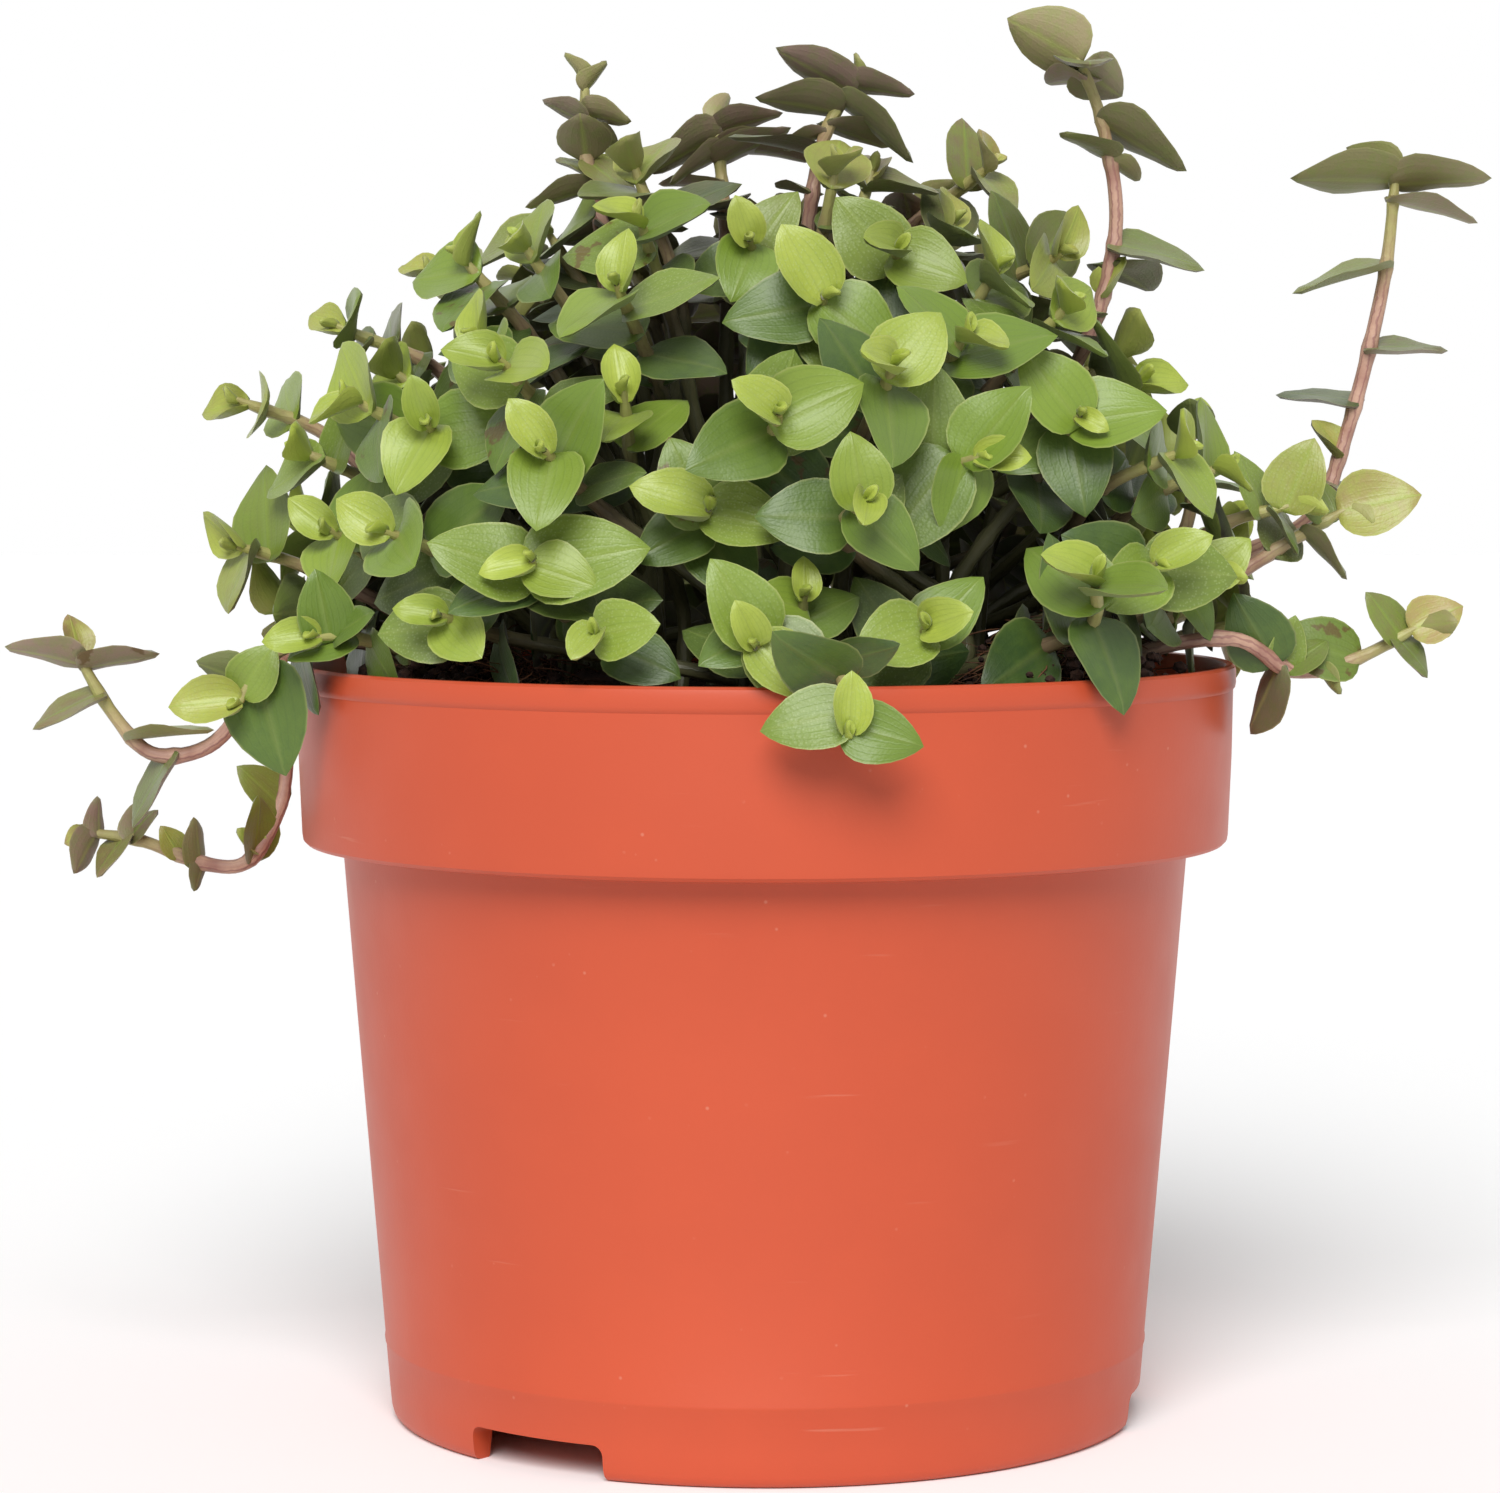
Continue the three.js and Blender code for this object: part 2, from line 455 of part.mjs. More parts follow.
function pointOn(leaf, u, v) {
  return leaf.base
    .clone()
    .addScaledVector(leaf.along, u)
    .addScaledVector(leaf.across, v)
    .addScaledVector(leaf.normal, bend(leaf, u, v));
}

// A leaf at a spot on its stem, growing along one way with its upper side facing another.
function layLeaf(spot, way, facing, length, rank, key) {
  const along = way.clone().normalize();
  const normal = facing.clone().addScaledVector(along, -facing.dot(along)).normalize();
  const leaf = {
    base: spot.clone(),
    along,
    normal,
    across: along.clone().cross(normal),
    length,
    width: length * widthByRank[rank] * (0.93 + 0.14 * vary(key, 5)),
    cup: cupByRank[rank] * (0.8 + 0.4 * vary(key, 6)),
    droop: 0.02 + 0.12 * vary(key, 8),
    rank,
  };
  leaf.middle = pointOn(leaf, length / 2, 0);
  const half = (v) => leaf.width * halfWidth(v);
  const left = outlineStops.map((v) => pointOn(leaf, v * length, half(v)));
  const right = outlineStops.map((v) => pointOn(leaf, v * length, -half(v))).reverse();
  const tip = pointOn(leaf, length, 0);
  leaf.outline = [...left, tip, ...right, left[0]];
  leaf.rib = [...ribStops.map((v) => pointOn(leaf, v * length, 0)), tip];
  return leaf;
}

// The same, with its ways worked out from its turn about the stem.
function aimLeaf(place, around, pitch, length, rank, key) {
  const { at, toward } = place;
  const up = vec(0, 0.5, 0.866);
  const zero = up.addScaledVector(toward, -up.dot(toward)).normalize();
  const side = toward.clone().cross(zero);
  const out = zero.multiplyScalar(Math.cos(around)).addScaledVector(side, Math.sin(around));
  const along = toward.clone().multiplyScalar(Math.cos(pitch));
  along.addScaledVector(out, Math.sin(pitch));
  const facing = toward.clone().multiplyScalar(Math.sin(pitch));
  facing.addScaledVector(out, -Math.cos(pitch));
  const roll = 0.7 * (vary(key, 9) - 0.5);
  facing.addScaledVector(along.clone().cross(facing), roll);
  return layLeaf(at, along, facing, length, rank, key);
}

// True if the line from p to q passes through the leaf, or ends closer to it than the clearance.
function pierces(leaf, p, q) {
  const seen = [p, q].map((point) => {
    const d = point.clone().sub(leaf.base);
    const [u, v] = [d.dot(leaf.along), d.dot(leaf.across)];
    const inner = Math.min(Math.max(u, 0), leaf.length);
    return { u, v, w: d.dot(leaf.normal) - bend(leaf, inner, v) };
  });
  const covers = (u, v) => {
    const alongShare = (u - 0.48 * leaf.length) / (0.5 * leaf.length + 0.6);
    const acrossShare = v / (leaf.width / 2 + 0.6);
    return alongShare * alongShare + acrossShare * acrossShare < 1;
  };
  if (seen.some((s) => Math.abs(s.w) < leafPlate.clearance && covers(s.u, s.v))) return true;
  const [a, b] = seen;
  if (a.w * b.w >= 0) return false;
  const t = a.w / (a.w - b.w);
  return covers(a.u + t * (b.u - a.u), a.v + t * (b.v - a.v));
}

const chainPierces = (leaf, chain) => chain.some((p, i) => i > 0 && pierces(leaf, chain[i - 1], p));

function leavesClash(a, b) {
  if (a.middle.distanceTo(b.middle) > (a.length + b.length) / 2 + 2) return false;
  const meets = (one, other) => chainPierces(one, other.outline) || chainPierces(one, other.rib);
  return meets(a, b) || meets(b, a);
}

// Leaves keep off the soil, the table, and the pot's rim and outside.
function hitsPot(leaf) {
  return [...leaf.outline, ...leaf.rib].some(({ x, y, z }) => {
    const r = Math.hypot(x, y);
    const inRim = r > pot.bandFootRadius - 2.4 && r < pot.rimRadius + 1.2;
    return inRim ? z < pot.height + 1 : r <= pot.bandFootRadius - 2.4 && z < soilHeight(x, y) + 0.9;
  });
}

function stemClash(leaf, paths, own) {
  return paths.some((path, i) => {
    if (i === own) return false;
    return path.line.some((p, n) => {
      if (n % 2 || n === 0 || p.distanceTo(leaf.middle) > leaf.length) return false;
      return pierces(leaf, path.line[n - 2], p);
    });
  });
}

const turns = [0, 13, -13, 26, -26, 40, -40, 56, -56];
const tilts = [0, -14, 11, -26];
const shrinks = [1, 0.84, 0.7];

function findLeaf(shoot, rank, key, free) {
  const gap = shoot.gap || 4.8;
  const distance = stepByRank[rank] * gap;
  if (distance > shoot.path.length - 3) return null;
  const place = placeOn(shoot.path, distance);
  const length = shoot.leaf * sizeByRank[rank] * (0.94 + 0.12 * vary(key, 2));
  const around = shoot.first + (rank - 1) * shoot.turn + 16 * (vary(key, 4) - 0.5);
  for (const shrink of shrinks) {
    for (const tilt of tilts) {
      for (const turn of turns) {
        const pitch = degrees(pitchByRank[rank] + tilt);
        const leaf = aimLeaf(place, degrees(around + turn), pitch, length * shrink, rank, key);
        if (free(leaf)) return leaf;
      }
    }
  }
  return null;
}

function growLeaves(paths) {
  const grown = [];
  shoots.forEach((shoot, i) => {
    (shoot.leaves || []).forEach(([distance, rank, reach, facing], n) => {
      const { at } = placeOn(shoot.path, distance);
      const along = vec(...reach);
      const leaf = layLeaf(at, along, vec(...facing), along.length(), rank, 16 * i + n);
      grown.push({ shoot: i, leaf, byHand: true });
    });
  });
  const ranks = Math.max(...shoots.map((s) => s.count));
  for (let rank = 0; rank < ranks; rank++) {
    shoots.forEach((shoot, i) => {
      if (rank < (shoot.start || 0) || rank >= shoot.count) return;
      const free = (leaf) =>
        !hitsPot(leaf) &&
        !grown.some((g) => g.shoot !== i && leavesClash(leaf, g.leaf)) &&
        !stemClash(leaf, paths, i);
      const leaf = findLeaf(shoot, rank, 16 * i + rank, free);
      if (leaf) grown.push({ shoot: i, leaf, byHand: false });
    });
  }
  return grown;
}

// ---- solids ----
function solidOf(geometry) {
  const plain = geometry.clone();
  plain.deleteAttribute("normal");
  plain.deleteAttribute("uv");
  const merged = mergeVertices(plain, 1e-4);
  return new wasm.Manifold(
    new wasm.Mesh({
      numProp: 3,
      vertProperties: new Float32Array(merged.attributes.position.array),
      triVerts: new Uint32Array(merged.index.array),
    }),
  );
}

function geometryOf(solid) {
  const mesh = solid.getMesh();
  const geometry = new THREE.BufferGeometry();
  geometry.setAttribute("position", new THREE.BufferAttribute(mesh.vertProperties, 3));
  geometry.setIndex(new THREE.BufferAttribute(mesh.triVerts, 1));
  geometry.computeVertexNormals();
  return geometry;
}

function stemSolid(path, grow) {
  const section = new THREE.Shape();
  const radius = stem.radius + 1.4 * grow;
  for (let i = 0; i < stem.sides; i++) {
    const a = (i / stem.sides) * 2 * Math.PI;
    const [x, y] = [radius * Math.cos(a), radius * Math.sin(a)];
    if (i) section.lineTo(x, y);
    else section.moveTo(x, y);
  }
  const steps = Math.max(4, Math.round(path.length / stem.segment));
  const sweep = { steps, bevelEnabled: false, extrudePath: path.curve };
  return solidOf(new THREE.ExtrudeGeometry(section, sweep));
}

// A leaf as a closed plate: its outline cut from a sheet, then bent to its cup and droop.
// A leaf set by hand has the fuller outline.
function leafSolid({ leaf, byHand }, grow) {
  const shape = new THREE.Shape();
  const half = (v) => leaf.width * halfWidth(v) + grow;
  shape.moveTo(-grow, 0);
  const stops = byHand && leaf.length > 9 ? [0.3, 0.7] : [0.38];
  stops.forEach((v) => shape.lineTo(v * leaf.length, half(v)));
  shape.lineTo(leaf.length + grow, 0);
  [...stops].reverse().forEach((v) => shape.lineTo(v * leaf.length, -half(v)));
  const depth = leafPlate.thickness + 2 * grow;
  const plate = new THREE.ExtrudeGeometry(shape, { depth, bevelEnabled: false });
  const position = plate.attributes.position;
  for (let i = 0; i < position.count; i++) {
    const [u, v] = [position.getX(i), position.getY(i)];
    position.setZ(i, position.getZ(i) - depth / 2 + bend(leaf, u, v));
  }
  plate.applyMatrix4(new THREE.Matrix4().makeBasis(leaf.along, leaf.across.clone().negate(), leaf.normal));
  plate.translate(leaf.base.x, leaf.base.y, leaf.base.z);
  return solidOf(plate);
}

// The largest body of a solid, where a cut has left loose ends.
const largestOf = (solid) => solid.decompose().sort((a, b) => b.volume() - a.volume())[0];

const potMaterial = new THREE.MeshStandardMaterial({ color: 0xcf5a38, roughness: 0.5, metalness: 0 });
const soilMaterial = new THREE.MeshStandardMaterial({ color: 0x2f1e17, roughness: 1, metalness: 0 });
const leafMaterial = new THREE.MeshStandardMaterial({ color: 0x6f9a3a, roughness: 0.45, metalness: 0 });

function named(name, geometry, material) {
  const mesh = new THREE.Mesh(geometry, material);
  mesh.name = name;
  return mesh;
}

const lathe = (profile, segments) => {
  const outline = profile.map(([r, z]) => new THREE.Vector2(r, z));
  return new THREE.LatheGeometry(outline, segments).rotateX(Math.PI / 2);
};

// The pot's inside, from the middle of its floor up to the lip.
function insideProfile(gap) {
  const { wall, footHeight, padRadius } = pot;
  const bandFoot = pot.height - pot.bandHeight;
  return [
    [0, wall + gap],
    [padRadius + 1 - gap, wall + gap],
    [padRadius + 4 - gap, footHeight + wall + gap],
    [pot.wallFootRadius - wall - gap, footHeight + wall + gap],
    [pot.wallTopRadius - wall - gap, bandFoot + wall + gap],
    [pot.bandFootRadius - wall - 0.4 - gap, bandFoot + wall + gap],
    [pot.bandFootRadius - wall - gap, bandFoot + wall + 0.6 + gap],
  ];
}

function potBody() {
  const { height, wall, footHeight, padRadius, rimRadius, bandFootRadius, creaseHeight } = pot;
  const bandFoot = height - pot.bandHeight;
  const wallAt = (z) => {
    const share = (z - 3) / (bandFoot - 3);
    return pot.wallFootRadius + (pot.wallTopRadius - pot.wallFootRadius) * share;
  };
  const outside = [
    [0, 0],
    [padRadius, 0],
    [padRadius + 3, footHeight],
    [pot.wallFootRadius - 3.9, footHeight],
    [pot.wallFootRadius - 3.2, 0],
    [pot.wallFootRadius - 1.4, 0],
    [pot.wallFootRadius - 0.5, 0.6],
    [pot.wallFootRadius - 0.15, 1.8],
    [wallAt(creaseHeight) - 0.2, creaseHeight - 0.2],
    [wallAt(creaseHeight), creaseHeight],
    [pot.wallTopRadius, bandFoot],
    [bandFootRadius - 1, bandFoot],
    [bandFootRadius - 0.3, bandFoot + 0.3],
    [bandFootRadius, bandFoot + 1],
    [rimRadius - 0.15, height - 1.6],
    [rimRadius, height - 0.9],
    [rimRadius - 0.2, height - 0.2],
    [rimRadius - 0.6, height],
    [rimRadius - wall + 0.2, height - 0.1],
  ];
  const inside = insideProfile(0).reverse();
  const lip = [rimRadius - wall - 0.1, height - 0.8];
  return solidOf(lathe([...outside, lip, ...inside], pot.segments));
}

function makePot() {
  let body = potBody();
  for (let i = 0; i < notch.count; i++) {
    const middle = degrees(notch.firstDeg + (i * 360) / notch.count);
    const outer = pot.wallFootRadius + 2;
    const width = 2 * outer * Math.sin(degrees(notch.spanDeg / 2));
    const gap = new THREE.BoxGeometry(width, notch.depth, notch.height + 2);
    gap.translate(0, -(outer - notch.depth / 2), notch.height / 2 - 1.1);
    body = body.subtract(solidOf(gap.rotateZ(middle)));
  }
  for (let i = 0; i < drain.count; i++) {
    const a = degrees(notch.firstDeg - 90 + ((i + 0.5) * 360) / drain.count);
    const hole = new THREE.CylinderGeometry(drain.radius, drain.radius, 12, 12).rotateX(Math.PI / 2);
    hole.translate(drain.circle * Math.cos(a), drain.circle * Math.sin(a), pot.footHeight);
    body = body.subtract(solidOf(hole));
  }
  return named("pot", geometryOf(body), potMaterial);
}

const soilTop = (radius, gap) =>
  [1, 0.8, 0.5, 0.25, 0].map((share) => [radius * share, soilHeight(radius * share, 0) + gap]);

function makeSoil() {
  const top = soilTop(pot.bandFootRadius - pot.wall - air, 0);
  const profile = [...insideProfile(air), ...top];
  return named("potting_soil", lathe(profile, pot.segments / 2), soilMaterial);
}

// The space that the plants keep out of: the soil and the pot's rim, with the gap round them.
function potRoom() {
  const { height, rimRadius, bandFootRadius, wallTopRadius, wall } = pot;
  const bandFoot = height - pot.bandHeight - air;
  const rim = [
    [0, bandFoot - 20],
    [wallTopRadius + air, bandFoot - 20],
    [wallTopRadius + air, bandFoot],
    [bandFootRadius + air, bandFoot],
    [rimRadius + air, height - 2],
    [rimRadius + air, height + air],
    [rimRadius - wall - 1, height + air],
    [rimRadius - wall - 1, soil.edgeHeight + air],
  ];
  return solidOf(lathe([...rim, ...soilTop(rimRadius - wall - 3, air)], pot.segments));
}

// ---- assembly ----
fillMound();
const paths = shoots.map((shoot) => walk(routeOf(shoot)));
shoots.forEach((shoot, i) => {
  shoot.path = paths[i];
});
const grown = growLeaves(paths);

// Which shoots make up each cutting: one each, but for the clumps.
const plants = new Map();
let mounded = 0;
shoots.forEach((shoot, i) => {
  const name = shoot.name || "mound_" + String(++mounded).padStart(2, "0");
  if (!plants.has(name)) plants.set(name, []);
  plants.get(name).push(i);
});

// Buds are too small to be solids, and so is the youngest leaf of a shoot that grows by rule. Its
// old leaves, deep in the mound, are hidden.
const isSolid = ({ leaf, byHand }) => (byHand ? leaf.rank > 0 : leaf.rank > 1 && leaf.rank < 5);

function plantSolid(members, grow) {
  const pieces = members.map((i) => stemSolid(paths[i], grow));
  const leaves = grown.filter((g) => members.includes(g.shoot) && isSolid(g));
  pieces.push(...leaves.map((g) => leafSolid(g, grow)));
  return wasm.Manifold.union(pieces);
}

const root = new THREE.Group();
root.add(makePot(), makeSoil());
const room = potRoom();
const taken = [];
for (const [name, members] of plants) {
  let solid = plantSolid(members, 0).subtract(room);
  for (const other of taken) {
    if (solid.intersect(other.solid).volume() > 0) solid = solid.subtract(other.roomy());
  }
  solid = largestOf(solid);
  taken.push({ solid, roomy: () => plantSolid(members, air) });
  root.add(named(name, geometryOf(solid), leafMaterial));
}

export default root;
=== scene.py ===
import json
import math

import bmesh
import bpy
import numpy as np
from mathutils import Matrix, Vector, noise

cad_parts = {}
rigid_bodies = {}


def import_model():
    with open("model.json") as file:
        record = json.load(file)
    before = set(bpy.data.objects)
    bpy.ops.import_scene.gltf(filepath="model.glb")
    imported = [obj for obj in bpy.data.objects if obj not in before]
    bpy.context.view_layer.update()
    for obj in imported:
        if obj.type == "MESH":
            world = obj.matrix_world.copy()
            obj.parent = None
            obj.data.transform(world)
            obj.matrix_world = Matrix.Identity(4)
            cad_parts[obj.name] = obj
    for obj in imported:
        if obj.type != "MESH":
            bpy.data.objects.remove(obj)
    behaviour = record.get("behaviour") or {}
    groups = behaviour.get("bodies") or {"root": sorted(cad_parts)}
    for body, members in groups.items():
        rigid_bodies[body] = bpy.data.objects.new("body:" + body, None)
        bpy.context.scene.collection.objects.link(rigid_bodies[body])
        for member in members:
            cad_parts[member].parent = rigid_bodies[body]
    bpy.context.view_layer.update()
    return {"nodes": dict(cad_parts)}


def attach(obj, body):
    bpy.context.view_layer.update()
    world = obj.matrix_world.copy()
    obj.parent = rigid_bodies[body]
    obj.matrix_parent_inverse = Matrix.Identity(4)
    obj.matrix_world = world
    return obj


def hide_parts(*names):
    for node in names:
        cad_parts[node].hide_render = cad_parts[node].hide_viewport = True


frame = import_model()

mm = 0.001  # the layout is in millimetres, and every mesh in metres
print("frame loaded:", len(frame["nodes"]), "nodes")


def deselectAll():
    for o in bpy.context.scene.objects:
        o.select_set(False)
    bpy.context.view_layer.objects.active = None


def selectOnly(obj):
    deselectAll()
    obj.select_set(True)
    bpy.context.view_layer.objects.active = obj


def editMode():
    bpy.ops.object.mode_set(mode="EDIT")


def objectMode():
    bpy.ops.object.mode_set(mode="OBJECT")


def settle(obj):
    # the object's place goes into its mesh
    selectOnly(obj)
    bpy.ops.object.transform_apply(location=True, rotation=True, scale=True)


def smooth(obj, degrees=40):
    selectOnly(obj)
    bpy.ops.object.shade_smooth_by_angle(angle=math.radians(degrees))


def joinAll(objects, name):
    deselectAll()
    for o in objects:
        o.select_set(True)
    bpy.context.view_layer.objects.active = objects[0]
    if len(objects) > 1:
        bpy.ops.object.join()
    objects[0].name = name
    objects[0].data.name = name
    return objects[0]


def hand(piece, slotName, *nodes):
    # on the pot's one body, in place of the plain solids
    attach(piece, "root")
    if nodes:
        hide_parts(*nodes)


def vary(a, b):
    # a repeatable number from 0 to 1 for any two indices
    s = math.sin(a * 12.9898 + b * 78.233) * 43758.5453
    return s - math.floor(s)


def colour(r, g, b):
    # a screen colour, 0 to 255, as the linear values that shaders take
    def linear(c):
        c /= 255
        return c / 12.92 if c <= 0.04045 else ((c + 0.055) / 1.055) ** 2.4

    return (linear(r), linear(g), linear(b), 1)


class Tree:
    # a node tree that is written from left to right
    def __init__(self, tree):
        self.tree = tree

    def add(self, kind, inputs=(), **settings):
        made = self.tree.nodes.new(kind)
        for key, value in settings.items():
            setattr(made, key, value)
        for socket, value in dict(inputs).items():
            self.feed(made, socket, value)
        return made

    def feed(self, made, socket, value):
        target = made.inputs[socket]
        if isinstance(value, bpy.types.NodeSocket):
            self.tree.links.new(value, target)
        else:
            target.default_value = value

    def math(self, operation, a, b=0.0, clamp=False):
        return self.add("ShaderNodeMath", {0: a, 1: b}, operation=operation, use_clamp=clamp).outputs[0]

    def mix(self, share, a, b, blend="MIX"):
        made = self.add("ShaderNodeMix", data_type="RGBA", blend_type=blend)
        self.feed(made, 0, share)
        self.feed(made, 6, a)
        self.feed(made, 7, b)
        return made.outputs[2]

    def ramp(self, value, low, high, start=0.0, end=1.0):
        made = self.add("ShaderNodeMapRange", interpolation_type="SMOOTHSTEP")
        sockets = ("Value", "From Min", "From Max", "To Min", "To Max")
        for socket, v in zip(sockets, (value, low, high, start, end)):
            self.feed(made, socket, v)
        return made.outputs["Result"]

    def noise(self, vector, scale, detail=3.0, roughness=0.55):
        told = {"Vector": vector, "Scale": scale, "Detail": detail, "Roughness": roughness}
        return self.add("ShaderNodeTexNoise", told).outputs["Fac"]

    def spread(self, vector, location=(0, 0, 0), rotation=(0, 0, 0), scale=(1, 1, 1)):
        told = {"Vector": vector, "Location": location, "Rotation": rotation, "Scale": scale}
        return self.add("ShaderNodeMapping", told).outputs[0]

    def group(self, groupTree, **inputs):
        made = self.add("ShaderNodeGroup")
        made.node_tree = groupTree
        for socket, value in inputs.items():
            self.feed(made, socket, value)
        return made


def newGroup(name, inputs, outputs):
    tree = bpy.data.node_groups.new(name, "ShaderNodeTree")
    for socket, (kind, value) in inputs.items():
        made = tree.interface.new_socket(socket, in_out="INPUT", socket_type=kind)
        if value is not None:
            made.default_value = value
    for socket, kind in outputs.items():
        tree.interface.new_socket(socket, in_out="OUTPUT", socket_type=kind)
    t = Tree(tree)
    return t, t.add("NodeGroupInput").outputs, t.add("NodeGroupOutput")


def newMaterial(name, **sockets):
    material = bpy.data.materials.new(name)
    material.use_nodes = True
    t = Tree(material.node_tree)
    shader = next(n for n in material.node_tree.nodes if n.type == "BSDF_PRINCIPLED")
    for socket, value in sockets.items():
        t.feed(shader, socket.replace("_", " "), value)
    return material, t, shader


number = "NodeSocketFloat"
place = "NodeSocketVector"

# Colour that drifts over a surface at two sizes.
t, given, out = newGroup(
    "softMottle",
    {"Vector": (place, None), "Scale": (number, 100.0), "Low": (number, 0.35), "High": (number, 0.65)},
    {"Mask": number},
)
coarse = t.noise(given["Vector"], given["Scale"], 2.0)
fine = t.noise(given["Vector"], t.math("MULTIPLY", given["Scale"], 5.3), 2.0)
both = t.math("ADD", t.math("MULTIPLY", coarse, 0.65), t.math("MULTIPLY", fine, 0.35))
t.feed(out, "Mask", t.ramp(both, given["Low"], given["High"]))
softMottle = t.tree

# The lines of a leaf, from its own UV map: x runs from base to tip, y across.
t, given, out = newGroup(
    "leafLines",
    {"Veins": (number, 9.0)},
    {"Vein": number, "Midrib": number, "Margin": number, "Tip": number},
)
leafPlace = t.add("ShaderNodeUVMap", uv_map="leafUv").outputs[0]
split = t.add("ShaderNodeSeparateXYZ", {0: leafPlace}).outputs
across = t.math("ABSOLUTE", t.math("SUBTRACT", t.math("MULTIPLY", split[1], 2.0), 1.0))
wave = t.math("COSINE", t.math("MULTIPLY", across, t.math("MULTIPLY", given["Veins"], math.pi)))
t.feed(out, "Vein", t.ramp(wave, 0.55, 1.0))
t.feed(out, "Midrib", t.ramp(across, 0.16, 0.0))
t.feed(out, "Margin", t.ramp(across, 0.93, 0.99))
t.feed(out, "Tip", t.ramp(split[0], 0.8, 1.0))
leafLines = t.tree

# Fine cells, as in a close look at a leaf or the grain of moulded plastic.
t, given, out = newGroup(
    "fineCells", {"Vector": (place, None), "Scale": (number, 2500.0)}, {"Height": number}
)
cells = t.add("ShaderNodeTexVoronoi", {"Vector": given["Vector"], "Scale": given["Scale"]}, feature="F1")
t.feed(out, "Height", t.math("SUBTRACT", 1.0, cells.outputs["Distance"]))
fineCells = t.tree


foliageLook = {
    "mature": colour(58, 82, 38),
    "grown": colour(112, 137, 45),
    "young": colour(166, 180, 72),
    "olive": colour(112, 118, 58),
    "bronze": colour(104, 88, 68),
    "copper": colour(150, 126, 84),
    "underPurple": colour(138, 114, 104),
    "underGreen": colour(118, 126, 74),
    "midrib": colour(150, 160, 84),
    "margin": colour(178, 178, 118),
    "net": colour(158, 172, 120),
    "blotch": colour(92, 70, 34),
    "topRoughness": 0.4,
    "underRoughness": 0.52,
    "sheen": 0.1,
}


def leafMaterial(name, under):
    look = foliageLook
    material, t, shader = newMaterial(
        name,
        Roughness=look["underRoughness"] if under else look["topRoughness"],
        Specular_IOR_Level=0.42,
        Sheen_Weight=look["sheen"],
        Sheen_Roughness=0.4,
    )
    where = t.add("ShaderNodeTexCoord").outputs["Object"]
    lines = t.group(leafLines).outputs
    ageAndShade = t.add("ShaderNodeAttribute", attribute_name="leafAgeAndShade").outputs["Fac"]
    bronze = t.add("ShaderNodeAttribute", attribute_name="leafBronze").outputs["Fac"]
    tone = t.add("ShaderNodeAttribute", attribute_name="leafTone").outputs["Fac"]
    worn = t.add("ShaderNodeAttribute", attribute_name="leafWorn").outputs["Fac"]
    drift = t.group(softMottle, Vector=where, Scale=130.0).outputs["Mask"]
    speckle = t.group(softMottle, Vector=where, Scale=620.0, Low=0.42, High=0.62).outputs["Mask"]
    cells = t.group(fineCells, Vector=where, Scale=2600.0).outputs["Height"]
    # age is 0 on a bud and 1 on an old leaf, and deeper in the mound it is raised further as painted shade,
    # a darker green
    green = t.mix(t.ramp(ageAndShade, 0.05, 0.5), look["young"], look["grown"])
    green = t.mix(t.ramp(ageAndShade, 0.42, 0.95), green, look["mature"])
    green = t.mix(t.math("MULTIPLY", t.ramp(tone, 0.35, 1.0), 0.4), green, look["olive"])
    if under:
        purple = t.mix(t.math("MULTIPLY", speckle, 0.45), look["underPurple"], look["underGreen"])
        share = t.math("ADD", t.math("MULTIPLY", ageAndShade, 0.4), t.math("MULTIPLY", bronze, 0.7), clamp=True)
        base = t.mix(share, green, purple)
        base = t.mix(t.math("MULTIPLY", lines["Midrib"], 0.5), base, look["midrib"])
    else:
        base = t.mix(t.math("MULTIPLY", drift, 0.25), green, look["grown"])
        netted = t.math("MULTIPLY", t.ramp(cells, 0.55, 0.85), t.ramp(tone, 0.5, 0.95))
        base = t.mix(t.math("MULTIPLY", netted, 0.28), base, look["net"])
        base = t.mix(t.math("MULTIPLY", lines["Vein"], 0.1), base, look["mature"])
        # bronze gathers in blotches and at the tip, and leaves the midrib green
        blotchy = t.math("ADD", t.math("MULTIPLY", drift, 0.4), t.math("MULTIPLY", speckle, 0.3))
        blotchy = t.math("ADD", blotchy, t.math("MULTIPLY", lines["Tip"], 0.25))
        share = t.math("MULTIPLY", bronze, t.math("ADD", blotchy, 0.4), clamp=True)
        share = t.math("MULTIPLY", share, t.math("SUBTRACT", 1.0, t.math("MULTIPLY", lines["Midrib"], 0.6)))
        metal = t.mix(t.ramp(ageAndShade, 0.1, 0.6), look["copper"], look["bronze"])
        base = t.mix(share, base, metal)
        base = t.mix(t.math("MULTIPLY", lines["Midrib"], 0.14), base, look["midrib"])
    base = t.mix(t.math("MULTIPLY", lines["Margin"], 0.3), base, look["margin"])
    hurt = t.math("MULTIPLY", worn, t.ramp(t.noise(where, 330.0, 3.0), 0.56, 0.62))
    base = t.mix(t.math("MULTIPLY", hurt, 0.8), base, look["blotch"])
    bright = t.add("ShaderNodeHueSaturation", {"Color": base, "Value": t.ramp(tone, 0.0, 1.0, 0.84, 1.14)})
    t.feed(shader, "Base Color", bright.outputs[0])
    height = t.math("ADD", t.math("MULTIPLY", cells, 0.35), t.math("MULTIPLY", lines["Vein"], -0.18))
    height = t.math("ADD", height, t.math("MULTIPLY", lines["Midrib"], 0.5 if under else -0.8))
    bump = t.add("ShaderNodeBump", {"Height": height, "Strength": 0.3, "Distance": 0.0002})
    t.feed(shader, "Normal", bump.outputs[0])
    return material


leafTop = leafMaterial("leafTop", under=False)
leafUnder = leafMaterial("leafUnder", under=True)

